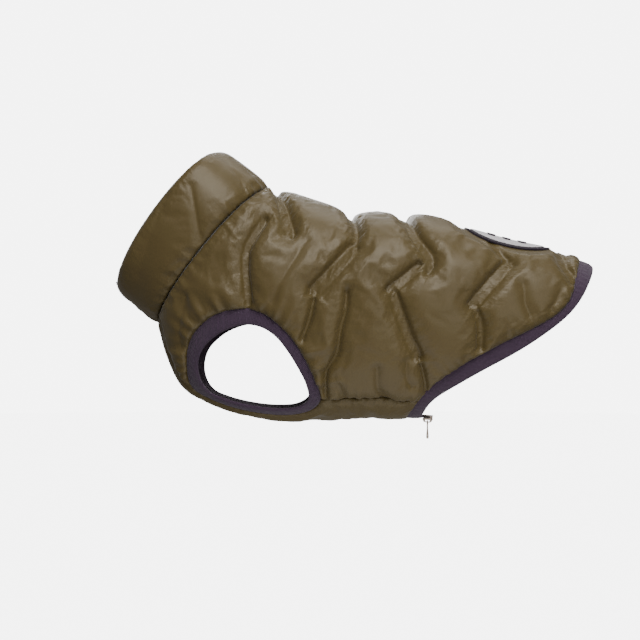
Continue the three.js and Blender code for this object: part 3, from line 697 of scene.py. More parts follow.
@dataclass(frozen=True)
class Gathers:
    """Uneven folds that run into a seam, where a longer edge is sewn to a shorter one."""

    line: Array
    count: int
    depth: float
    length: float
    seed: int
    lean: float = 0.25
    crest: float = 1.4
    level: float = 0.55
    reach: float = 3.0
    place_spread: float = 0.32
    widths: tuple[float, float] = (0.2, 0.34)
    lengths: tuple[float, float] = (0.45, 1.7)
    depths: tuple[float, float] = (0.45, 1.35)

    def lift(self, spots: Array) -> Array:
        """How far the folds raise or sink points of the surface.

        Args:
            spots: Points, one in each row.

        Returns:
            One height for each point, in millimetres.
        """
        tree = KDTree(len(self.line))
        for i, spot in enumerate(self.line):
            tree.insert(spot, i)
        tree.balance()
        run = run_along(self.line)
        found = [tree.find(spot)[1:] for spot in spots]
        along = run[np.array([i for i, _ in found])]
        away = np.array([distance for _, distance in found])
        close = np.flatnonzero(away < self.length * self.reach)
        along, away = along[close], away[close]
        chance = np.random.default_rng(self.seed)
        pitch = run[-1] / self.count
        total = np.zeros(len(spots))
        total[close] = -self.depth * self.level * np.exp(-((away / self.length) ** 2))
        for i in range(self.count):
            place = (i + 0.5 + chance.uniform(-self.place_spread, self.place_spread)) * pitch
            width = pitch * chance.uniform(*self.widths)
            length = self.length * chance.uniform(*self.lengths)
            depth = self.depth * chance.uniform(*self.depths)
            lean = chance.uniform(-self.lean, self.lean)
            off = (along - place - lean * away) / (width * (1 + away / (2 * length)))
            total[close] += depth * self.crest * np.exp(-(off**2) - (away / length) ** 2)
        return total


class GatherRow(NamedTuple):
    """The folds along one seam: how many, how deep and how long, and the seed of their places."""

    count: int
    depth: float
    length: float
    seed: int


GATHERS = {
    "back at the collar": GatherRow(46, 0.9, 9, 11),
    "leg hole": GatherRow(26, 1.9, 21, 3),
    "hem": GatherRow(34, 1.1, 10, 7),
    "back at the belly": GatherRow(9, 1.5, 20, 15),
    "belly at the back": GatherRow(11, 1.3, 14, 31),
    "collar at the body": GatherRow(40, 0.8, 9, 21),
    "collar rim": GatherRow(18, 0.4, 20, 22),
}
GATHER_POINTS = 900


def gathered(seam: str, path: Array, side: Side | None = None) -> Gathers:
    """Folds along a seam.

    Args:
        seam: The seam's name in the table.
        path: Its path of station and angle on the far side, or right round the coat.
        side: The side that it lies on, or None for both.

    Returns:
        The folds.
    """
    row = GATHERS[seam]
    turn = 1 if side is None else side.value
    seed = row.seed + (0 if side is None else side.value)
    line = line_points(even(path * (1, turn), GATHER_POINTS))
    return Gathers(line, row.count, row.depth, row.length, seed)


@dataclass(frozen=True)
class Swelling:
    """How a stitched skin fills out: cloth cut a little large, pressed outwards between its stitches."""

    frames: int = 13
    pressure: float = 12.0
    growth: float = 0.08
    least_growth: float = 0.02
    cap: float = 6.0
    softening: int = 1
    mass: float = 0.02
    tension: float = 25.0
    shear: float = 10.0
    bending: float = 0.04
    damping: float = 10.0
    air: float = 2.0
    quality: int = 6
    weight_steps: int = 20
    fixed_from: float = 0.99

    def mark(self, obj: bpy.types.Object, name: str, weights: Array) -> bpy.types.VertexGroup:
        """Writes weights to a new vertex group.

        Args:
            obj: The skin.
            name: The group's name.
            weights: One weight for each corner, rounded to even steps.

        Returns:
            The group.
        """
        group = obj.vertex_groups.new(name=name)
        steps = np.round(weights * self.weight_steps).astype(int)
        for step in np.unique(steps[steps > 0]):
            group.add(np.flatnonzero(steps == step).tolist(), float(step) / self.weight_steps, "REPLACE")
        return group

    def soften(self, moved: Array, edges: Array) -> Array:
        """Evens out how neighbouring corners moved.

        Args:
            moved: How far each corner moved.
            edges: The corner numbers of each edge.

        Returns:
            The evened movements.
        """
        count = np.bincount(edges.ravel(), minlength=len(moved))[:, None]
        for _ in range(self.softening):
            total = np.zeros_like(moved)
            np.add.at(total, edges[:, 0], moved[edges[:, 1]])
            np.add.at(total, edges[:, 1], moved[edges[:, 0]])
            moved = moved * 0.5 + total / np.maximum(count, 1) * 0.5
        return moved

    def fill(self, obj: bpy.types.Object, held: Array, puckered: Array) -> None:
        """Runs the cloth and keeps the shape that it reaches.

        Args:
            obj: The open skin.
            held: How firmly each corner is stitched, from 0 to 1.
            puckered: How much spare cloth each corner has, from 0 to 1.
        """
        start = corners_of(obj)
        begun = time.monotonic()
        group = self.mark(obj, "stitched", held)
        spare = self.mark(obj, "spare cloth", puckered)
        modifier = obj.modifiers.new("filling", "CLOTH")
        sizes = modifier.settings
        sizes.quality = self.quality
        sizes.mass = self.mass
        sizes.tension_stiffness = self.tension
        sizes.compression_stiffness = self.tension
        sizes.shear_stiffness = self.shear
        sizes.bending_stiffness = self.bending
        sizes.tension_damping = self.damping
        sizes.compression_damping = self.damping
        sizes.air_damping = self.air
        sizes.use_pressure = True
        sizes.uniform_pressure_force = self.pressure
        sizes.shrink_min = -self.least_growth
        sizes.shrink_max = -self.growth
        sizes.vertex_group_shrink = "spare cloth"
        sizes.vertex_group_mass = "stitched"
        sizes.effector_weights.gravity = 0
        modifier.collision_settings.use_collision = False
        modifier.point_cache.frame_end = self.frames
        scene = bpy.context.scene
        for frame_number in range(1, self.frames + 1):
            scene.frame_set(frame_number)
        shaped = obj.evaluated_get(bpy.context.evaluated_depsgraph_get())
        moved = corners_of(shaped) - start
        obj.modifiers.remove(modifier)
        obj.vertex_groups.remove(group)
        obj.vertex_groups.remove(spare)
        scene.frame_set(1)
        edges = np.empty(len(obj.data.edges) * 2, int)
        obj.data.edges.foreach_get("vertices", edges)
        moved = self.soften(moved, edges.reshape(-1, 2))
        moved[held > self.fixed_from] = 0
        far = np.linalg.norm(moved, axis=1, keepdims=True)
        limit = self.cap * MM
        moved *= limit * np.tanh(far / limit) / np.maximum(far, TINY)
        seconds = time.monotonic() - begun
        log.info("%s filled out by up to %.1f mm in %.0f s", obj.name, far.max() / MM, seconds)
        obj.data.vertices.foreach_set("co", (start + moved).ravel())
        obj.data.update()


# Finishes

class Value:
    """A number or socket in a material's graph, on which Python's operators add Math nodes."""

    def __init__(self, graph: "Graph", source: Any) -> None:
        """Wraps a socket or a number of one graph."""
        self.graph = graph
        self.source = source

    def _with(self, operation: str, other: Any, other_first: bool = False) -> "Value":
        """Adds one Math node that joins this value and another."""
        sockets = dict(enumerate((other, self) if other_first else (self, other)))
        return Value(self.graph, self.graph.node("ShaderNodeMath", {"operation": operation}, sockets))

    def __add__(self, other: Any) -> "Value":
        """This value plus another."""
        return self._with("ADD", other)

    def __sub__(self, other: Any) -> "Value":
        """This value less another."""
        return self._with("SUBTRACT", other)

    def __rsub__(self, other: Any) -> "Value":
        """Another value less this one."""
        return self._with("SUBTRACT", other, other_first=True)

    def __mul__(self, other: Any) -> "Value":
        """This value times another."""
        return self._with("MULTIPLY", other)

    __radd__ = __add__
    __rmul__ = __mul__

    def sine(self) -> "Value":
        """The sine of this value, in radians."""
        return self._with("SINE", 0)

    def size(self) -> "Value":
        """This value without its sign."""
        return self._with("ABSOLUTE", 0)


class Graph:
    """The node graph of one material, around its shader."""

    def __init__(self, name: str) -> None:
        """Makes a material with a bare shader."""
        self.material = bpy.data.materials.new(name)
        self.material.use_nodes = True
        self.nodes = self.material.node_tree.nodes
        self.links = self.material.node_tree.links
        self.shader = next(node for node in self.nodes if node.type == "BSDF_PRINCIPLED")

    def feed(self, node: bpy.types.Node, socket: int | str, source: Any) -> None:
        """Gives a socket a value or links it to another node's socket.

        Args:
            node: The node with the socket.
            socket: The socket's name or number.
            source: A number, a colour, a Value or a socket.
        """
        source = source.source if isinstance(source, Value) else source
        if isinstance(source, bpy.types.NodeSocket):
            self.links.new(source, node.inputs[socket])
        else:
            node.inputs[socket].default_value = source

    def node(self, kind: str, settings: dict[str, Any], sockets: dict[int | str, Any], out: int = 0) -> Any:
        """Adds a node.

        Args:
            kind: The node's type.
            settings: Its properties, set before its sockets.
            sockets: Values or links of its sockets.
            out: The number of the output to hand back.

        Returns:
            That output socket.
        """
        made = self.nodes.new(kind)
        for setting, value in settings.items():
            setattr(made, setting, value)
        for socket, source in sockets.items():
            self.feed(made, socket, source)
        return made.outputs[out]

    def cloth(self) -> Any:
        """The vector of a point's place on the flat cloth, in metres."""
        return self.node("ShaderNodeAttribute", {"attribute_name": "cloth"}, {}, out=1)

    def across(self) -> list[Value]:
        """The three parts of the place on the flat cloth."""
        first = self.node("ShaderNodeSeparateXYZ", {}, {0: self.cloth()})
        return [Value(self, socket) for socket in first.node.outputs]

    def noise(self, vector: Any, scale: float, detail: float = 2, stretch: Triple = (1, 1, 1)) -> Value:
        """Smooth noise, from 0 to 1.

        Args:
            vector: The place to read it at.
            scale: Waves in a metre.
            detail: How many finer layers it has.
            stretch: Factors on the three parts of the place.

        Returns:
            The noise.
        """
        place = self.node("ShaderNodeVectorMath", {"operation": "MULTIPLY"}, {0: vector, 1: stretch})
        sockets = {"Vector": place, "Scale": scale, "Detail": detail}
        return Value(self, self.node("ShaderNodeTexNoise", {}, sockets))

    def mix(self, share: Any, first: Sequence[float], second: Sequence[float]) -> Any:
        """A colour between two others."""
        sockets = {0: share, 6: (*first, 1), 7: (*second, 1)}
        return self.node("ShaderNodeMix", {"data_type": "RGBA"}, sockets, out=2)

    def bump(self, height: Value, distance: float, strength: float = 1) -> None:
        """Feeds a height, in parts of a distance in metres, to the shader's normal."""
        sockets = {"Height": height, "Distance": distance, "Strength": strength}
        self.feed(self.shader, "Normal", self.node("ShaderNodeBump", {}, sockets))

    def finish(self, **sockets: Any) -> bpy.types.Material:
        """Feeds the shader's sockets, named with underscores, and hands back the material."""
        for name, source in sockets.items():
            self.feed(self.shader, name.replace("_", " ").title().replace("Ior", "IOR"), source)
        return self.material


@dataclass(frozen=True)
class Satin:
    """Thin shiny nylon over padding."""

    name: str = "olive satin"
    shade: Colour = (0.094, 0.066, 0.021)
    light: Colour = (0.124, 0.089, 0.031)
    roughness: float = 0.41
    crease: float = 0.0008

    def make(self) -> bpy.types.Material:
        """Makes the material."""
        graph = Graph(self.name)
        place = graph.cloth()
        spare = Value(graph, graph.node("ShaderNodeAttribute", {"attribute_name": "spare"}, {}, out=2))
        cloudy = graph.noise(place, 22, 3)
        crumple = graph.noise(place, 60, 3, (1, 0.5, 1))
        long_creases = 1 - (graph.noise(place, 46, 2, (1, 0.4, 1)) - 0.5).size() * 5
        fine_creases = 1 - (graph.noise(place, 120, 2, (0.8, 1, 1)) - 0.5).size() * 5
        creases = long_creases * (spare * 0.8 + 0.15) + fine_creases * spare * 0.35
        graph.bump(crumple * 0.5 + creases, self.crease)
        return graph.finish(
            base_color=graph.mix(cloudy * 0.5 + 0.25, self.shade, self.light),
            roughness=cloudy * 0.05 + (self.roughness - 0.025),
            sheen_weight=0.15,
            sheen_roughness=0.4,
            specular_ior_level=0.45,
            specular_tint=(1.0, 0.95, 0.87, 1.0),
        )


@dataclass(frozen=True)
class Knit:
    """Ribbed knitted binding, with painted shade that darkens the grooves between the ribs."""

    name: str = "aubergine rib knit"
    # The grooves' colour is painted shade: darker where the ribs' relief is low.
    painted_groove_shade: Colour = (0.020, 0.009, 0.022)
    rib: Colour = (0.090, 0.044, 0.092)
    pitch: float = 0.0016
    depth: float = 0.0005

    def make(self) -> bpy.types.Material:
        """Makes the material."""
        graph = Graph(self.name)
        along, across, _ = graph.across()
        wave = (along * (math.tau / self.pitch)).sine() * 0.5 + 0.5
        loops = (across * (math.tau / self.pitch)).sine() * 0.5 + 0.5
        fuzz = graph.noise(graph.cloth(), 900, 3)
        height = wave * 0.7 + loops * 0.2 + fuzz * 0.5
        graph.bump(height, self.depth)
        # The base colour follows the rib height, so the grooves carry painted shade.
        return graph.finish(
            base_color=graph.mix(height * 0.7, self.painted_groove_shade, self.rib),
            roughness=0.85,
            sheen_weight=0.25,
            sheen_roughness=0.5,
        )


@dataclass(frozen=True)
class Woven:
    """Tightly woven tape, felt or thread: one colour with a fine grain, painted darker in the grain's low
    places as painted shade.
    """

    name: str
    colour: Colour
    grain: float = 0.0003
    pitch: float = 0.0012
    roughness: float = 0.8
    sheen: float = 0.1

    def make(self) -> bpy.types.Material:
        """Makes the material."""
        graph = Graph(self.name)
        along, across, _ = graph.across()
        twill = ((along + across) * (math.tau / self.pitch)).sine() * 0.5 + 0.5
        fuzz = graph.noise(graph.cloth(), 1100, 3)
        height = twill * 0.6 + fuzz * 0.6
        graph.bump(height, self.grain)
        # The low places of the grain get a darker colour: painted shade in the weave's hollows.
        darker = tuple(part * 0.55 for part in self.colour)
        return graph.finish(
            base_color=graph.mix(height, darker, self.colour),
            roughness=self.roughness,
            sheen_weight=self.sheen,
        )


@dataclass(frozen=True)
class Metal:
    """Plated zip metal, a little worn."""

    name: str = "pale gold plating"
    colour: Colour = (0.80, 0.67, 0.57)
    roughness: float = 0.42

    def make(self) -> bpy.types.Material:
        """Makes the material."""
        graph = Graph(self.name)
        place = graph.node("ShaderNodeTexCoord", {}, {}, out=3)
        wear = graph.noise(place, 260, 3)
        graph.bump(wear, 0.00005)
        darker = tuple(part * 0.7 for part in self.colour)
        return graph.finish(
            base_color=graph.mix(wear, darker, self.colour),
            roughness=wear * 0.15 + (self.roughness - 0.07),
            metallic=0.6,
        )


class Lamp(NamedTuple):
    """A square soft light: its place, what it faces and its side in metres, and its watts."""

    name: str
    place: Triple
    aim: Triple
    side: float
    watts: float


COAT_MIDDLE = (0.024, 0.0, -0.1356)
LAMPS = (
    Lamp("key", (0.35, -1.5, 1.6), COAT_MIDDLE, 1.5, 45),
    Lamp("front", (1.2, -2.2, -0.05), COAT_MIDDLE, 1.4, 10),
    Lamp("top", (0.4, 0.8, 1.9), COAT_MIDDLE, 1.4, 14),
    Lamp("behind", (-0.5, 2.3, 0.7), COAT_MIDDLE, 1.5, 32),
    Lamp("low", (0.12, -0.3, -0.42), (0.12, -0.3, 0.0), 0.5, 0.7),
)


@dataclass(frozen=True)
class Studio:
    """The pale floor and backdrop, the soft lights, and the camera at the photograph's angle."""

    floor_z: float = -0.43
    floor_radius: float = 3.4
    sweep_radius: float = 1.6
    wall_top: float = 8.0
    wall_panels: int = 72
    camera_x: float = 0.024
    camera_z: float = -0.1356
    camera_distance: float = 2.0
    lens: float = 93.75
    sensor: float = 36.0
    paper: Colour = (0.86, 0.86, 0.87)
    paper_roughness: float = 0.9
    glow: float = 6.0
    world: float = 0.22

    def build(self) -> None:
        """Sets up everything but the coat."""
        self.backdrop()
        for lamp in LAMPS:
            self.hang(lamp)
        world = bpy.data.worlds.new("studio air")
        bpy.context.scene.world = world
        world.use_nodes = True
        air = next(node for node in world.node_tree.nodes if node.type == "BACKGROUND")
        air.inputs["Color"].default_value = (1, 1, 1, 1)
        air.inputs["Strength"].default_value = self.world
        data = bpy.data.cameras.new("photograph view")
        data.lens, data.sensor_width, data.clip_start = self.lens, self.sensor, 0.05
        camera = bpy.data.objects.new("photograph view", data)
        camera.location = (self.camera_x, -self.camera_distance, self.camera_z)
        camera.rotation_euler = (math.pi / 2, 0, 0)
        bpy.context.scene.collection.objects.link(camera)
        bpy.context.scene.camera = camera

    def backdrop(self) -> None:
        """Makes the floor that sweeps up into a round wall on all sides."""
        bend = [math.radians(turn) for turn in range(0, 91, 6)]
        rows = [
            (
                self.floor_radius + self.sweep_radius * math.sin(turn),
                self.floor_z + self.sweep_radius * (1 - math.cos(turn)),
            )
            for turn in bend
        ]
        rows.append((rows[-1][0], self.wall_top))
        count = self.wall_panels
        turns = [math.tau * i / count for i in range(count)]
        round_it = [(math.cos(turn), math.sin(turn)) for turn in turns]
        corners = [(r * c + self.camera_x, r * s, z) for r, z in rows for c, s in round_it]
        faces = [tuple(range(count))]
        for i in range(len(rows) - 1):
            here, there = i * count, (i + 1) * count
            faces += between(range(here, there), range(there, there + count), True)
        paper = make_mesh("paper_sweep", np.array(corners) / MM, faces)
        graph = Graph("pale paper")
        white = (1.0, 1.0, 1.0, 1.0)
        material = graph.finish(
            base_color=(*self.paper, 1),
            roughness=self.paper_roughness,
            emission_color=white,
            emission_strength=self.glow,
        )
        paper.data.materials.append(material)
        paper.visible_diffuse = False
        paper.visible_glossy = False

    def hang(self, lamp: Lamp) -> None:
        """Hangs one light, which doesn't show itself to the camera."""
        data = bpy.data.lights.new(lamp.name, "AREA")
        data.size, data.energy = lamp.side, lamp.watts
        light = bpy.data.objects.new(lamp.name, data)
        light.location = lamp.place
        light.rotation_euler = (Vector(lamp.aim) - Vector(lamp.place)).to_track_quat("-Z", "Y").to_euler()
        light.visible_camera = False
        bpy.context.scene.collection.objects.link(light)


# The padded panels

class Puff(NamedTuple):
    """How padding rises from a line of stitches, and how far in it reaches its full height."""

    height: float
    reach: float


def rise(puff: Puff, distance: Array) -> Array:
    """Padding height at distances from the nearest stitches."""
    inward = np.clip(distance / puff.reach, 0, 1)
    return puff.height * np.sqrt(1 - (1 - inward) ** 2)


@dataclass
class PaddedPanel:
    """A piece of padding between satin and a plain lining, closed by its seams."""

    name: str
    node: str
    loops: list[Array]
    puff: Puff
    seams: list[Array]
    bands: list[tuple[float, Array]] = field(default_factory=list)
    band_paths: list[Array] = field(default_factory=list)
    folds: list[tuple[Fold, Array]] = field(default_factory=list)
    fold_paths: list[Array] = field(default_factory=list)
    gathers: list[Gathers] = field(default_factory=list)
    swelling: Swelling = field(default_factory=Swelling)
    spacing: float = 2.4
    lining_spacing: float = 9.0
    wall: float = 3.0
    edge_depth: float = 1.4
    edge_round: float = 4.0
    stitch_half_width: float = 2.4
    band_tilt: float = 2.2
    band_sink: float = 0.6
    band_wrinkle: float = 0.35
    edge_ridge: float = 0.35
    ridge_width: float = 0.9
    band_fade: float = 3.0
    full_half_width: float = 6.0
    edge_rows: tuple[float, ...] = (-1.2, 0.0, 1.2, 2.8)
    row_step: float = 1.8
    pucker_reach: float = 11.0
    crease_reach: float = 16.0
    fill: float = 0.5

    def to_stitches(self, spots: Array) -> Array:
        """Distances from points to the nearest seam or band, below zero inside a band."""
        least = np.full(len(spots), np.inf)
        for seam in self.seams:
            least = np.minimum(least, away_from(spots, seam))
        for half_width, line in self.bands:
            least = np.minimum(least, away_from(spots, line) - half_width)
        return least

    def height(self, path: Array, spots: Array) -> Array:
        """How far the satin stands above the seams' surface before it fills out."""
        padding = rise(self.puff, self.to_stitches(spots))
        for fold, line in self.folds:
            padding -= fold.depth * np.exp(-((away_from(spots, line) / fold.width) ** FOLD_SHARPNESS))
        for drawn in self.gathers:
            padding += drawn.lift(spots)
        return np.maximum(padding, 0)

    def held(self, path: Array, spots: Array) -> Array:
        """How firmly each point is stitched down, from 0 to 1."""
        grip = np.zeros(len(spots))
        for half_width, line in self.bands:
            past_edge = away_from(spots, line) - half_width
            grip = np.maximum(grip, np.clip(1 - past_edge / self.stitch_half_width, 0, 1))
        return grip

    def close_rows(self) -> Array | None:
        """Close rows of places along both edges of each stitched band and down the middle of each fold."""
        rows = []
        for (half_width, _), curve in zip(self.bands, self.band_paths):
            spaced = even(curve, max(3, round(length_of(curve) / self.row_step)))
            for past in self.edge_rows:
                if half_width + past > self.row_step / 3:
                    rows += [set_off(spaced, half_width + past), set_off(spaced, -half_width - past)]
        for curve in self.fold_paths:
            spaced = even(curve, max(3, round(length_of(curve) / self.row_step)))
            rows += [set_off(spaced, off) for off in (-self.row_step, 0.0, self.row_step)]
        return np.concatenate(rows) if rows else None

    def band_floor(self, path: Array, spots: Array) -> Array:
        """How far the stitched bands rise: they tilt, lowest at the puff nearer the spine, and ripple.

        Args:
            path: Each point's station and angle.
            spots: The same points in millimetres.

        Returns:
            One height for each point.
        """
        floor = np.zeros(len(spots))
        for (half_width, line), curve in zip(self.bands, self.band_paths):
            same_side = path[:, 1] * curve[:, 1].sum() >= 0
            past_edge = away_from(spots, line) - half_width
            share = np.clip(towards_spine(path, curve) / half_width, -1, 1)
            course = line[-1] - line[0]
            run = spots @ course / max(float(np.linalg.norm(course)), TINY)
            wave = np.sin(run * 0.21 + 1.7 * np.sin(run * 0.09)) + 0.3 * np.sin(run * 0.43 + 1.0)
            breadth = min(1.0, half_width / self.full_half_width)
            tilt = (self.band_tilt * breadth * -share) - self.band_sink
            tilt += self.band_wrinkle * wave * breadth * (1 - share**2)
            tilt += self.edge_ridge * np.exp(-((past_edge / self.ridge_width) ** 2))
            fade = np.clip(1 - past_edge / self.band_fade, 0, 1) * same_side
            floor = np.where(np.abs(tilt * fade) > np.abs(floor), tilt * fade, floor)
        return floor

    def build(self, satin: bpy.types.Material) -> bpy.types.Object:
        """Makes the piece, fills it out, lines it and dresses it.

        Args:
            satin: The cloth's finish.

        Returns:
            The finished piece.
        """
        outer = lay_out(self.loops, self.spacing, self.close_rows())
        spots = BODY.point(outer.path[:, 0], outer.path[:, 1])
        lift = self.height(outer.path, spots) + self.band_floor(outer.path, spots)
        stitches = self.to_stitches(spots)
        lift[: outer.edge_count] = -self.edge_depth
        skin = make_mesh(self.name, BODY.lifted(outer.path, lift), outer.faces, outer.path * UNROLL)
        grip = self.held(outer.path, spots)
        grip[: outer.edge_count] = 1
        self.swelling.fill(skin, grip, np.exp(-((np.maximum(stitches, 0) / self.pucker_reach) ** 2)))
        shape = corners_of(skin) / MM
        bpy.data.objects.remove(skin, do_unlink=True)
        lining = lay_out(self.loops, self.lining_spacing)
        below = lining.path[lining.edge_count :]
        from_edge = near(below * UNROLL, lining.path[: lining.edge_count] * UNROLL)
        share = np.clip(from_edge / self.edge_round, 0, 1) ** 0.5
        depth = self.edge_depth + (self.wall - self.edge_depth) * share
        corners = np.concatenate([shape, BODY.lifted(below, -depth)])
        cloth = np.concatenate([outer.path, below]) * UNROLL
        moved_on = lining.faces - lining.edge_count + len(shape)
        shifted = np.where(lining.faces < lining.edge_count, lining.faces, moved_on)
        faces = np.concatenate([outer.faces, shifted[:, ::-1]])
        piece = make_mesh(self.name, corners, faces, cloth)
        spare = np.zeros(len(corners))
        spare[: len(stitches)] = np.exp(-((np.maximum(stitches, 0) / self.crease_reach) ** 2))
        piece.data.attributes.new("spare", "FLOAT", "POINT").data.foreach_set("value", spare)
        dress(piece, satin, self.node)
        return piece


def ring_path(half: Array) -> Array:
    """Joins a half path, which starts at the spine, to its mirror image."""
    return np.concatenate([mirrored(half)[:0:-1], half])


def closed(*runs: Array) -> Array:
    """Joins runs end to end into one closed loop with no point twice."""
    joined = np.concatenate(runs)
    step = np.linalg.norm(joined - np.roll(joined, 1, axis=0), axis=1)
    return joined[step > 1e-6]


@dataclass
class Seams:
    """The coat's edges and seams as evenly spaced paths, each panel drawn in a little from them."""

    step: float = 2.2
    gap: float = -0.4

    def spaced(self, path: Array) -> Array:
        """A path with its points about one step apart."""
        return even(path, max(2, round(length_of(path) / self.step) + 1))

    def drawn_in(self, loop: Array, distance: float) -> Array:
        """A closed loop moved inwards on the unrolled plane.

        Args:
            loop: The loop's stations and angles.
            distance: How far it moves; below zero is outwards.

        Returns:
            The moved loop.
        """
        spots = loop * UNROLL
        ahead, behind = np.roll(spots, -1, axis=0), np.roll(spots, 1, axis=0)
        area = np.sum(spots[:, 0] * ahead[:, 1] - ahead[:, 0] * spots[:, 1])
        along = ahead - behind
        along /= np.linalg.norm(along, axis=1, keepdims=True)
        across = np.stack([-along[:, 1], along[:, 0]], axis=-1) * np.sign(area)
        return (spots + across * distance) / UNROLL

    def back_half(self) -> tuple[Array, Array, Array]:
        """The back panel's collar seam, lower edge and hem on the far side."""
        top = self.spaced(PATTERN.round_path(PATTERN.collar_seam, 0, PATTERN.chest_seam_angle))
        hem = self.spaced(PATTERN.round_path(PATTERN.hem, 0, PATTERN.belly_seam_angle))
        return top, self.spaced(PATTERN.lower_edge()), hem

    def belly(self, side: Side) -> Array:
        """The closed outline of one belly panel.

        Args:
            side: The side that the panel is on.

        Returns:
            The outline's stations and angles.
        """
        arch = PATTERN.armhole(start=ARMHOLE_BACK_ROW, rows=len(ARMHOLE) - ARMHOLE_BACK_ROW)
        at_zip, at_chest = PATTERN.zip_angle, PATTERN.chest_seam_angle
        zip_ends = [(float(edge(np.array(at_zip))), at_zip) for edge in (PATTERN.hem, PATTERN.collar_seam)]
        runs = [
            self.spaced(PATTERN.chest_seam()),
            self.spaced(arch)[::-1],
            self.spaced(PATTERN.belly_seam()),
            self.spaced(PATTERN.round_path(PATTERN.hem, PATTERN.belly_seam_angle, at_zip)),
            self.spaced(np.array(zip_ends)),
            self.spaced(PATTERN.round_path(PATTERN.collar_seam, at_zip, at_chest)),
        ]
        loop = closed(*runs)
        return loop if side is Side.FAR else mirrored(loop)


SEAMS = Seams()


@dataclass
class Quilting:
    """The coat's padded panels, sewn from satin: the back, the collar and the two halves of the belly."""

    satin: bpy.types.Material
    back_puff: Puff = Puff(9, 20)
    collar_puff: Puff = Puff(6.5, 18)
    belly_puff: Puff = Puff(4, 11)
    collar_swelling: Swelling = field(default_factory=lambda: Swelling(growth=0.02, cap=3.0, pressure=8.0))

    def back(self) -> bpy.types.Object:
        """Builds the quilted back panel, which reaches down both sides."""
        top, low, hem = SEAMS.back_half()
        outline = closed(ring_path(top), low, hem[::-1], mirrored(hem), mirrored(low)[::-1])
        edges = [path[::2] for half in (top, low, hem) for path in (half, mirrored(half))]
        seams = [line_points(edge) for edge in edges]
        bands = [(band.half_width, line_of(on_side(band.path, side))) for band in BANDS for side in Side]
        curves = [curved(on_side(band.path, side)) for band in BANDS for side in Side]
        folds = [(fold, line_of(on_side(fold.path, side))) for fold in BODY_FOLDS for side in Side]
        creases = [curved(on_side(fold.path, side)) for fold in BODY_FOLDS for side in Side]
        loops = [SEAMS.drawn_in(outline, SEAMS.gap)]
        arch = PATTERN.armhole(rows=ARMHOLE_BACK_ROW)
        drawn = [gathered("back at the collar", ring_path(top))]
        for side in Side:
            drawn.append(gathered("leg hole", arch, side))
            drawn.append(gathered("hem", hem, side))
            drawn.append(gathered("back at the belly", PATTERN.belly_seam(), side))
        piece = BackPanel(
            "back_panel_cloth",
            "back_panel",
            loops,
            self.back_puff,
            seams,
            bands=bands,
            band_paths=curves,
            folds=folds,
            fold_paths=creases,
            gathers=drawn,
        )
        return piece.build(self.satin)

    def collar(self) -> bpy.types.Object:
        """Builds the high collar, which meets itself at the zip under the throat."""
        rim = SEAMS.spaced(ring_path(PATTERN.round_path(PATTERN.rim, 0, PATTERN.zip_angle)))
        seam = SEAMS.spaced(ring_path(PATTERN.round_path(PATTERN.collar_seam, 0, PATTERN.zip_angle)))
        far_end = SEAMS.spaced(np.array([rim[-1], seam[-1]]))
        outline = closed(rim, far_end, seam[::-1], mirrored(far_end)[::-1])
        folds = [
            (fold, line_of(np.array(fold.path) * (1, side.value)))
            for fold in COLLAR_FOLDS
            for side in Side
        ]
        seams = [BODY.point(path[::2, 0], path[::2, 1]) for path in (rim, seam)]
        piece = PaddedPanel(
            "collar_cloth",
            "collar",
            [SEAMS.drawn_in(outline, SEAMS.gap)],
            self.collar_puff,
            seams,
            folds=folds,
            gathers=[gathered("collar at the body", seam), gathered("collar rim", rim)],
            swelling=self.collar_swelling,
        )
        return piece.build(self.satin)

    def belly(self, side: Side) -> bpy.types.Object:
        """Builds one half of the belly.

        Args:
            side: Which half it is.

        Returns:
            The finished piece.
        """
        outline = SEAMS.belly(side)
        rim = BODY.point(outline[:, 0], outline[:, 1])
        piece = PaddedPanel(
            f"belly_panel_{side.word}_cloth",
            f"belly_panel_{side.word}",
            [SEAMS.drawn_in(outline, SEAMS.gap)],
            self.belly_puff,
            [np.concatenate([rim, rim[:1]])],
            gathers=[gathered("belly at the back", PATTERN.belly_seam(), side)],
            swelling=Swelling(growth=0.03, cap=2.5, pressure=8.0),
        )
        return piece.build(self.satin)


# Knitted bindings

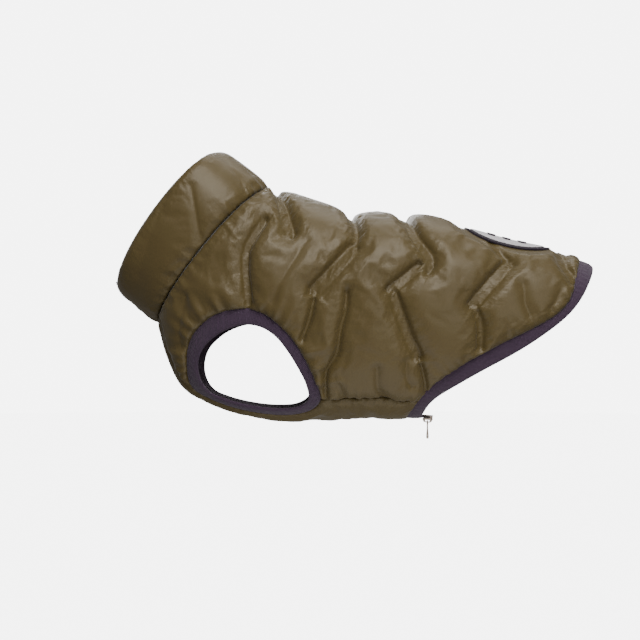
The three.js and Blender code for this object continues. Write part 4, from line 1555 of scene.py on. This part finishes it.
@dataclass
class Binding:
    """A folded strip of knit that closes an open edge."""

    name: str
    node: str
    edge: Array
    free: Array
    is_ring: bool
    seam_depth: float = 1.4
    crown: float = 1.3
    wall: float = 3.0
    allowance: float = 1.2
    side_points: int = 11
    fullness: float = 0.45
    ripple: float = 0.18
    ripple_pace: float = 0.9

    def profile(self) -> list[tuple[float, float]]:
        """The strip's section: each point's place across, from 0 to 1, and its height above the surface."""
        turns = np.linspace(0, math.pi, self.side_points)
        across = 0.5 - 0.5 * np.cos(turns)
        swell = np.array([math.sin(turn) ** self.fullness for turn in turns])
        upper = list(zip(across, (self.seam_depth + self.crown) * swell - self.seam_depth))
        lower = list(zip(across, (self.seam_depth - self.wall) * swell - self.seam_depth))
        return upper + lower[-2:0:-1]

    def build(self, knit: bpy.types.Material) -> bpy.types.Object:
        """Makes the strip and dresses it.

        Args:
            knit: The strip's finish.

        Returns:
            The finished piece.
        """
        section = self.profile()
        rows = len(self.edge)
        free = line_points(self.free)
        run = run_along(free)
        width = float(np.median(np.linalg.norm(line_points(self.edge) - free, axis=1)))
        corners, cloth = [], []
        for across, lift in section:
            share = across * (1 + self.allowance / width) - self.allowance / width
            path = self.edge * (1 - share) + self.free * share
            ripple = self.ripple * np.sin(run * self.ripple_pace) * math.sin(math.pi * across)
            corners.append(BODY.lifted(path, lift + ripple * (lift > 0)))
            under = lift < -self.seam_depth
            cloth.append(np.stack([run, np.full(rows, (2 - across if under else across) * width)], axis=-1))
        grid = np.arange(rows * len(section)).reshape(len(section), rows)
        faces = []
        for i in range(len(section)):
            faces += between(grid[i], grid[(i + 1) % len(section)], self.is_ring)
        if not self.is_ring:
            faces += [tuple(grid[:, 0]), tuple(grid[::-1, -1])]
        piece = make_mesh(self.name, np.concatenate(corners), faces, np.concatenate(cloth))
        make_outward(piece)
        dress(piece, knit, self.node)
        return piece


def line_points(path: Array) -> Array:
    """The real points of a path, in millimetres."""
    return BODY.point(path[:, 0], path[:, 1])


def make_outward(obj: bpy.types.Object) -> None:
    """Turns all the faces of a closed mesh outwards."""
    mesh = bmesh.new()
    mesh.from_mesh(obj.data)
    bmesh.ops.recalc_face_normals(mesh, faces=mesh.faces)
    mesh.to_mesh(obj.data)
    mesh.free()


@dataclass
class Edging:
    """All the knitted bindings."""

    knit: bpy.types.Material
    rows_per_place: int = 20
    stitch_share: float = 0.2
    stitch_lift: float = 1.15

    def armhole(self, side: Side) -> bpy.types.Object:
        """Binds one leg hole.

        Args:
            side: Which one it is.

        Returns:
            The finished binding.
        """
        pattern = Pattern(curve_points=self.rows_per_place)
        edge, free = pattern.armhole()[:-1], pattern.armhole(free=True)[:-1]
        if side is Side.NEAR:
            edge, free = mirrored(edge), mirrored(free)
        node = f"armhole_binding_{side.word}"
        return Binding(f"{node}_knit", node, edge, free, True).build(self.knit)

    def hem(self) -> bpy.types.Object:
        """Binds the hem from one side of the zip to the other."""
        angle = np.linspace(-PATTERN.zip_angle, PATTERN.zip_angle, 420)
        edge = np.stack([PATTERN.hem(angle), angle], axis=-1)
        free = np.stack([PATTERN.hem(angle, free=True), angle], axis=-1)
        return Binding("hem_binding_knit", "hem_binding", edge, free, False).build(self.knit)

    def stitching(self) -> None:
        """Sews a line along each binding, a little in from its seam."""
        thread = Thread(self.knit, "binding")
        hem = PATTERN.round_path(PATTERN.hem, -PATTERN.zip_angle, PATTERN.zip_angle)
        free = np.stack([PATTERN.hem(hem[:, 1], free=True), hem[:, 1]], axis=-1)
        path = hem * (1 - self.stitch_share) + free * self.stitch_share
        thread.line("hem_stitches", path, self.stitch_lift)
        cloth, inner = PATTERN.armhole(), PATTERN.armhole(free=True)
        for side in Side:
            path = (cloth * (1 - self.stitch_share) + inner * self.stitch_share) * (1, side.value)
            thread.line(f"armhole_stitches_{side.word}", path, self.stitch_lift)


def rounded_block(size: Triple, bevel: float, segments: int) -> tuple[Array, list[list[int]]]:
    """The corners and faces of a block with rounded edges.

    Args:
        size: Its length, width and height.
        bevel: How far its edges are rounded.
        segments: How many faces round each edge.

    Returns:
        The corners, and the corner numbers of each face.
    """
    mesh = bmesh.new()
    bmesh.ops.create_cube(mesh, size=1, matrix=Matrix.Diagonal((*size, 1)))
    edges = mesh.edges[:]
    bmesh.ops.bevel(mesh, geom=edges, offset=bevel, segments=segments, profile=0.5, affect="EDGES")
    corners = np.array([vert.co for vert in mesh.verts])
    faces = [[vert.index for vert in face.verts] for face in mesh.faces]
    mesh.free()
    return corners, faces


@dataclass
class Thread:
    """Machine stitches: short rounded lengths of thread laid end to end."""

    material: bpy.types.Material
    slot: str
    length: float = 2.6
    width: float = 0.55
    height: float = 0.45
    pitch: float = 3.5
    edge: float = 0.16

    def block(self) -> tuple[Array, list[list[int]]]:
        """The corners and faces of one stitch, along X and flat on Z."""
        return rounded_block((self.length, self.width, self.height), self.edge, 1)

    def sew(self, name: str, spots: Array, along: Array, out: Array) -> bpy.types.Object:
        """Lays a stitch at each spot.

        Args:
            name: The piece's name.
            spots: The stitches' middles, in millimetres.
            along: The direction that each runs in.
            out: The direction that each faces.

        Returns:
            All the stitches as one piece.
        """
        along = along / np.linalg.norm(along, axis=1, keepdims=True)
        across = np.cross(out, along)
        across /= np.linalg.norm(across, axis=1, keepdims=True)
        axes = np.stack([along, across, np.cross(along, across)], axis=1)
        corners, faces = self.block()
        placed = np.einsum("ij,njk->nik", corners, axes) + spots[:, None]
        count = len(corners)
        everything = [[corner + i * count for corner in face] for i in range(len(spots)) for face in faces]
        piece = make_mesh(name, placed.reshape(-1, 3), everything, placed.reshape(-1, 3))
        return dress(piece, self.material)

    def line(self, name: str, path: Array, lift: float) -> bpy.types.Object:
        """Sews a line of stitches along a path, at a height above the surface."""
        count = max(3, round(length_of(path) / self.pitch))
        spaced = even(path, count)
        spots = BODY.lifted(spaced, lift)
        return self.sew(name, spots, np.gradient(spots, axis=0), BODY.normal(spaced[:, 0], spaced[:, 1]))


# The zip

TAPE_SECTION = (
    (0.03, -0.2),
    (0.06, 0.25),
    (0.4, 0.1),
    (0.94, 0.0),
    (0.98, -0.4),
    (0.98, -0.9),
    (0.9, -1.2),
    (0.1, -1.2),
    (0.03, -0.9),
)


@dataclass
class Zip:
    """The metal zip under the belly: two woven tapes, their teeth and the box at the throat."""

    tape: bpy.types.Material
    metal: bpy.types.Material
    start: float = -77.0
    end: float = 391.5
    width: float = 7.0
    tape_rows: int = 160
    tooth_pitch: float = 2.4
    tooth_shift: float = 0.7
    tooth_lift: float = 0.6
    tooth_round: float = 0.25
    first_tooth: float = 2.0
    bare_end: float = 14.0
    tooth: tuple[float, float, float] = (1.1, 3.0, 1.5)
    box: tuple[float, float, float] = (8.0, 9.0, 3.6)
    box_round: float = 1.1
    box_share: float = 0.54

    def seat(self, station: float, lift: float = 0.0) -> Matrix:
        """Where a small part sits on the zip: its X towards the tail and its Z outwards, in metres."""
        out = Vector(BODY.normal(np.array(station), np.array(180.0)))
        across = Vector((0, -1, 0))
        place = Vector(BODY.point(np.array(station), np.array(180.0))) + out * lift
        axes = Matrix((across.cross(out), across, out)).transposed()
        return Matrix.Translation(place * MM) @ axes.to_4x4() @ Matrix.Scale(MM, 4)

    def tape_half(self, side: Side) -> bpy.types.Object:
        """Weaves one tape.

        Args:
            side: Which one it is.

        Returns:
            The finished tape.
        """
        stations = np.linspace(self.start, self.end, self.tape_rows)
        corners, cloth = [], []
        for across, lift in TAPE_SECTION:
            angle = side.value * (180 - PATTERN.zip_half_angle * across)
            path = np.stack([stations, np.full(len(stations), angle)], axis=-1)
            corners.append(BODY.lifted(path, lift))
            cloth.append(np.stack([stations, np.full(len(stations), across * self.width)], axis=-1))
        sides = len(TAPE_SECTION)
        grid = np.arange(self.tape_rows * sides).reshape(sides, self.tape_rows)
        faces = []
        for i in range(sides):
            faces += between(grid[i], grid[(i + 1) % sides], False)
        faces += [tuple(grid[:, 0]), tuple(grid[::-1, -1])]
        node = f"zip_tape_{side.word}"
        piece = make_mesh(f"{node}_woven", np.concatenate(corners), faces, np.concatenate(cloth))
        make_outward(piece)
        return dress(piece, self.tape, node)

    def blocks(
        self,
        name: str,
        places: list[Matrix],
        size: tuple[float, float, float],
        bevel: float,
        node: str | None = None,
    ) -> bpy.types.Object:
        """Makes one mesh of many small rounded blocks.

        Args:
            name: The piece's name.
            places: Where each block sits.
            size: A block's length, width and height, in millimetres.
            bevel: How far its edges are rounded.
            node: The solid that the piece stands for, if any.

        Returns:
            The piece, riding on the coat.
        """
        corners, faces = rounded_block(size, bevel, 2)
        everything, all_faces = [], []
        for i, place in enumerate(places):
            turn = np.array(place)
            everything.append((corners @ turn[:3, :3].T + turn[:3, 3]) / MM)
            all_faces += [[corner + i * len(corners) for corner in face] for face in faces]
        return dress(make_mesh(name, np.concatenate(everything), all_faces), self.metal, node)

    def teeth(self) -> bpy.types.Object:
        """Sets the closed rows of teeth, one from each side in turn."""
        count = int((self.end - self.start - self.bare_end) / self.tooth_pitch * 2)
        shifts = [Matrix.Translation((0, shift, 0)) for shift in (self.tooth_shift, -self.tooth_shift)]
        first = self.start + self.first_tooth
        places = [
            self.seat(first + i * self.tooth_pitch / 2, self.tooth_lift) @ shifts[i % 2]
            for i in range(count)
        ]
        return self.blocks("zip_teeth", places, self.tooth, self.tooth_round)

    def box_end(self) -> bpy.types.Object:
        """Makes the box that holds the tapes' lower ends at the throat."""
        station = float(PATTERN.rim(np.array(PATTERN.zip_angle))) + self.box[0] * self.box_share
        return self.blocks("zip_box_plated", [self.seat(station)], self.box, self.box_round, "zip_box")


class Casting:
    """Smooth cast shapes that are gathered into one piece of metal."""

    def __init__(self, round_points: int = 20) -> None:
        """Starts with nothing; each bar has this many points around it."""
        self.turns = np.linspace(0, math.tau, round_points, endpoint=False)
        self.corners: list[Array] = []
        self.faces: list[tuple[int, ...]] = []

    def bar(
        self,
        path: Array,
        side: Sequence[float],
        widths: Array | float,
        heights: Array | float,
        squareness: float = 2.0,
        is_loop: bool = False,
    ) -> None:
        """Adds a bar that runs along a path, thick or thin by turns.

        Args:
            path: The middle of the bar, in millimetres.
            side: The direction that its width lies in.
            widths: Half its width at each point.
            heights: Half its height at each point.
            squareness: 2 for a round section and more for a squarer one.
            is_loop: Whether its ends meet.
        """
        ahead = np.gradient(path, axis=0)
        if is_loop:
            ahead = np.roll(path, -1, axis=0) - np.roll(path, 1, axis=0)
        ahead /= np.linalg.norm(ahead, axis=1, keepdims=True)
        up = np.cross(ahead, np.array(side))
        c, s = squared(self.turns, squareness)
        wide = np.broadcast_to(widths, len(path))[:, None, None] * np.array(side) * c[:, None]
        high = np.broadcast_to(heights, len(path))[:, None, None] * up[:, None] * s[:, None]
        first = sum(len(corners) for corners in self.corners)
        self.corners.append((path[:, None] + wide + high).reshape(-1, 3))
        count = len(self.turns)
        grid = first + np.arange(len(path) * count).reshape(len(path), count)
        pairs = [(grid[i], grid[i + 1]) for i in range(len(path) - 1)]
        pairs += [(grid[-1], grid[0])] if is_loop else []
        for here, there in pairs:
            self.faces += between(here, there, True)
        if not is_loop:
            self.faces += [tuple(grid[0]), tuple(grid[-1])]

    def piece(
        self,
        name: str,
        place: Matrix,
        metal: bpy.types.Material,
        node: str,
        body: str,
    ) -> bpy.types.Object:
        """Makes the piece.

        Args:
            name: The piece's name.
            place: Where it sits, in metres.
            metal: Its finish.
            node: The solid that it stands for.
            body: What it rides on.

        Returns:
            The finished piece.
        """
        turn = np.array(place)
        corners = (np.concatenate(self.corners) @ turn[:3, :3].T + turn[:3, 3]) / MM
        piece = make_mesh(name, corners, self.faces)
        make_outward(piece)
        return dress(piece, metal, node, body)


def rounded_ends(places: Array, roundness: float = 6.0) -> Array:
    """1 in the middle of a run of places and falling to nearly 0 at its ends."""
    share = (places - places.mean()) / ((places.max() - places.min()) / 2)
    return np.clip(1 - np.abs(share) ** roundness, 0.0, 1) ** 0.5 * 0.98 + 0.02


NOSE_SHAPE = ((-0.5, 0.0), (-0.2, 0.5), (0.1, 1.0), (0.5, 1.0))


@dataclass
class Slider:
    """The zip's slider, left at the tail end of the zip, with the tab that hangs from its bridge."""

    zip_line: Zip
    station: float = 389.0
    length: float = 13.0
    half_width: float = 4.8
    nose_half_width: float = 3.1
    plate: float = 1.3
    throat: float = 3.5
    flange: float = 1.2
    bridge_half_length: float = 4.1
    bridge_height: float = 3.2
    pivot_lift: float = 4.2
    loop_half_width: float = 2.55
    loop_length: float = 6.2
    loop_thickness: float = 0.8
    tab_length: float = 21.5
    post_inset: float = 2.6
    post_half_width: float = 2.2
    samples: int = 25

    def half_widths(self, places: Array) -> Array:
        """Half the width of the plates along their length, from the nose to the wide end."""
        knots, shares = np.array(NOSE_SHAPE).T
        share = smooth(knots, shares, places / self.length)
        return self.nose_half_width + (self.half_width - self.nose_half_width) * share

    def body(self) -> bpy.types.Object:
        """Casts the two plates with their flanges, the post between them and the bridge."""
        cast = Casting()
        places = self.length / 2 * np.sin(np.linspace(-math.pi / 2, math.pi / 2, self.samples))
        ends = rounded_ends(places, 4)
        level = (self.throat + self.plate) / 2
        for sign in (-1, 1):
            path = np.stack([places, np.zeros(self.samples), np.full(self.samples, sign * level)], axis=-1)
            cast.bar(path, (0, 1, 0), self.half_widths(places) * ends, self.plate / 2 * ends**0.5, 3.2)
            for edge in (-1, 1):
                run = places[2:-2] * 0.95
                across = edge * (self.half_widths(run) * rounded_ends(run) - self.flange * 0.5)
                height = np.full(len(run), sign * (level - self.flange * 0.9))
                flange = np.stack([run, across, height], axis=-1)
                cast.bar(flange, (0, 1, 0), self.flange * 0.5, self.flange * rounded_ends(run) ** 0.5, 3.0)
        post = np.array([(self.length / 2 - self.post_inset, 0, height) for height in (-level, 0, level)])
        cast.bar(post, (0, 1, 0), self.post_half_width, self.post_half_width)
        turns = np.linspace(0, math.pi, self.samples)
        reach = self.bridge_half_length * np.sign(np.cos(turns)) * np.abs(np.cos(turns)) ** 0.6
        lift = level + self.bridge_height * np.abs(np.sin(turns)) ** 0.6
        arch = np.stack([reach, np.zeros(self.samples), lift], axis=-1)
        cast.bar(arch, (0, 1, 0), 1.2, 0.7 + 0.9 * np.abs(np.cos(turns)) ** 3, 2.6)
        place = self.zip_line.seat(self.station)
        return cast.piece("zip_slider_cast", place, self.zip_line.metal, "zip_slider", "coat")

    def tab(self) -> bpy.types.Object:
        """Casts the pull: a loop round the bridge and a waisted tab that thickens to its end."""
        cast = Casting()
        turns = np.linspace(0, math.tau, 2 * self.samples, endpoint=False)
        c, s = (np.sign(f) * np.abs(f) ** 0.6 for f in (np.cos(turns), np.sin(turns)))
        drop = (s - 1) * self.loop_length / 2
        loop = np.stack([np.zeros(len(turns)), self.loop_half_width * c, drop], axis=-1)
        cast.bar(loop, (1, 0, 0), self.loop_thickness, self.loop_thickness, 2.4, is_loop=True)
        start, end = self.loop_length - self.loop_thickness, self.tab_length
        share = 0.5 - 0.5 * np.cos(np.linspace(0, math.pi, self.samples))
        down = start + (end - start) * share
        ends = rounded_ends(down, 8)
        knots = np.array([0.0, 0.35, 0.7, 1.0])
        widths = smooth(knots, np.array([2.4, 2.1, 2.7, 3.1]), share) * ends
        depths = smooth(knots, np.array([0.95, 1.0, 1.5, 1.75]), share) * ends
        path = np.stack([np.zeros(self.samples), np.zeros(self.samples), -down], axis=-1)
        cast.bar(path, (0, 1, 0), widths, depths, 2.6)
        out = BODY.normal(np.array(self.station), np.array(180.0))
        pivot = Vector(BODY.point(np.array(self.station), np.array(180.0)) + out * self.pivot_lift)
        place = Matrix.Translation(pivot * MM) @ Matrix.Scale(MM, 4)
        return cast.piece("zip_pull_cast", place, self.zip_line.metal, "zip_pull", "pull_tab")


# The sewn-on badge

@dataclass(frozen=True)
class BadgeForm:
    """Where the badge lies on the back and the shape of its outline."""

    station: float = 304.0
    half_length: float = 36.0
    half_angle: float = 24.0
    roundness: float = 2.6
    pad: float = 3.5

    def reach(self, path: Array) -> Array:
        """How far inside the badge each place is: 0 at its middle and 1 at its edge."""
        along = np.abs((path[:, 0] - self.station) / self.half_length) ** self.roundness
        around = np.abs(path[:, 1] / self.half_angle) ** self.roundness
        return (along + around) ** (1 / self.roundness)

    def rim(self, share: float, turns: Array) -> Array:
        """The path of the outline, scaled by a share, at angles round it in radians."""
        c, s = squared(turns, self.roundness)
        station = self.station + self.half_length * share * c
        return np.stack([station, self.half_angle * share * s], axis=-1)


BADGE_FORM = BadgeForm()


@dataclass
class Badge:
    """Plain bars on a pale face on a dark ground, sewn over the hips."""

    ground: bpy.types.Material
    face: bpy.types.Material
    form: BadgeForm = BADGE_FORM
    thickness: float = 1.4
    face_share: float = 0.86
    face_thickness: float = 0.6
    bar_offsets: tuple[float, ...] = (-13.0, 0.0, 13.0)
    bar_width: float = 7.0
    bar_reach: float = 0.55
    bar_thickness: float = 0.5
    border_share: float = 0.965
    gap: float = 0.3
    rim_step: float = 0.02
    rim_round: float = 0.06
    rim_least: float = 0.02
    bar_squareness: float = 6.0

    def layer(
        self,
        name: str,
        node: str,
        outline: Array,
        below: float,
        thickness: float,
        material: bpy.types.Material,
    ) -> bpy.types.Object:
        """Makes one layer with a rounded rim.

        Args:
            name: The layer's name.
            node: The solid that it stands for.
            outline: Its closed outline.
            below: How far its underside stands above the seams' surface.
            thickness: How thick it is.
            material: Its finish.

        Returns:
            The finished layer.
        """
        middle = outline.mean(axis=0)
        shares = np.concatenate([[1.0], 1 - self.rim_step * np.arange(1, 4), np.linspace(0.9, 0.1, 12)])
        inwards = np.clip((1 - shares) / self.rim_round, 0, 1)
        tops = thickness * np.sqrt(np.clip(1 - (1 - inwards) ** 2, self.rim_least, 1))
        rings = [(1.0, 0.0)] + list(zip(shares, tops))
        corners = [BODY.lifted(middle + (outline - middle) * share, below + lift) for share, lift in rings]
        cloth = [(middle + (outline - middle) * share) * UNROLL for share, _ in rings]
        rows = len(outline)
        corners += [BODY.lifted(middle[None], below + thickness), BODY.lifted(middle[None], below)]
        cloth += [middle[None] * UNROLL] * 2
        faces = []
        for i in range(len(rings) - 1):
            here, there = i * rows, (i + 1) * rows
            faces += between(range(here, there), range(there, there + rows), True)
        top = len(rings) * rows
        foot, last = top + 1, top - rows
        faces += [(last + k, last + (k + 1) % rows, top) for k in range(rows)]
        faces += [((k + 1) % rows, k, foot) for k in range(rows)]
        piece = make_mesh(name, np.concatenate(corners), faces, np.concatenate(cloth))
        make_outward(piece)
        return dress(piece, material, node)

    def true_scale(self) -> Array:
        """Millimetres of cloth in a unit of station and in a degree, at the badge's middle."""
        middle = np.array([[self.form.station, 0.0]])
        steps = np.concatenate([middle, middle + (1, 0), middle + (0, 1)])
        spots = line_points(steps)
        return np.linalg.norm(spots[1:] - spots[0], axis=1)

    def declare(self, outline: Array) -> None:
        """Works out a layer's flat size, area and cut, and keeps none of them.

        Args:
            outline: Its closed outline.
        """
        flat = outline * self.true_scale()
        size = flat.max(axis=0) - flat.min(axis=0)
        ahead = np.roll(flat, -1, axis=0)
        area = abs(float(np.sum(flat[:, 0] * ahead[:, 1] - ahead[:, 0] * flat[:, 1]))) / 2 * MM**2
        cut = (float(size[0] * MM), float(size[1] * MM))

    def bar(self, offset: float) -> Array:
        """The outline of one bar, with rounded corners."""
        c, s = squared(np.linspace(0, math.tau, 64, endpoint=False), self.bar_squareness)
        station = self.form.station + offset + self.bar_width / 2 * c
        return np.stack([station, self.form.half_angle * self.bar_reach * s], axis=-1)

    def border(self, name: str, share: float, lift: float) -> bpy.types.Object:
        """Sews a close border of short threads over the rim."""
        loop = even(self.form.rim(share, np.linspace(0, math.tau, 721)), 260)[:-1]
        spots = BODY.lifted(loop, lift)
        out = BODY.normal(loop[:, 0], loop[:, 1])
        along = np.roll(spots, -1, axis=0) - np.roll(spots, 1, axis=0)
        thread = Thread(self.ground, "binding", length=3.2, width=0.9, height=0.7)
        return thread.sew(name, spots, np.cross(out, along), out)

    def build(self) -> None:
        """Sews the badge together from the ground up."""
        turns = np.linspace(0, math.tau, 160, endpoint=False)
        below = self.form.pad + self.gap
        wide, narrow = self.form.rim(1, turns), self.form.rim(self.face_share, turns)
        ground = self.layer("badge_ground_felt", "badge_ground", wide, below, self.thickness, self.ground)
        below += self.thickness + self.gap
        face = self.layer("badge_face_felt", "badge_face", narrow, below, self.face_thickness, self.face)
        below += self.face_thickness + self.gap
        self.border("badge_border_stitches", self.border_share, self.form.pad + self.gap + self.thickness)
        for word, offset in zip(("front", "middle", "rear"), self.bar_offsets):
            node = f"badge_bar_{word}"
            outline = self.bar(offset)
            self.layer(f"{node}_felt", node, outline, below, self.bar_thickness, self.ground)
        self.declare(wide)
        self.declare(narrow)


@dataclass
class BackPanel(PaddedPanel):
    """The back panel, with a flat seat for the badge and gathers into the leg bindings."""

    seat_from: float = 1.1
    seat_to: float = 1.45

    def padded_share(self, path: Array) -> Array:
        """0 on the badge's seat, rising to 1 where the padding is full."""
        share = np.clip((BADGE_FORM.reach(path) - self.seat_from) / (self.seat_to - self.seat_from), 0, 1)
        return share * share * (3 - 2 * share)

    def height(self, path: Array, spots: Array) -> Array:
        """The padding with its gathers, pressed flat under the badge."""
        padding = super().height(path, spots)
        share = self.padded_share(path)
        return np.maximum(padding * share + BADGE_FORM.pad * (1 - share), 0)

    def held(self, path: Array, spots: Array) -> Array:
        """The stitches, and the badge's seat."""
        return np.maximum(super().held(path, spots), (self.padded_share(path) < 0.5).astype(float))


def main() -> None:
    """Builds the coat, piece by piece."""
    logging.basicConfig(level=logging.INFO, format="%(message)s", stream=sys.stdout)
    Studio().build()
    quilting = Quilting(Satin().make())
    quilting.back()
    quilting.collar()
    edging = Edging(Knit().make())
    for side in Side:
        quilting.belly(side)
        edging.armhole(side)
    edging.hem()
    edging.stitching()
    metal = Metal().make()
    zip_line = Zip(Woven("dark zip tape", (0.020, 0.014, 0.022)).make(), metal)
    for side in Side:
        zip_line.tape_half(side)
    zip_line.teeth()
    zip_line.box_end()
    ground = Woven("dark felt", (0.030, 0.018, 0.032), roughness=0.9).make()
    face = Woven("pale felt", (0.90, 0.86, 0.88), roughness=0.9).make()
    Badge(ground, face).build()
    slider = Slider(zip_line)
    slider.body()
    slider.tab()


if __name__ == "__main__":
    main()
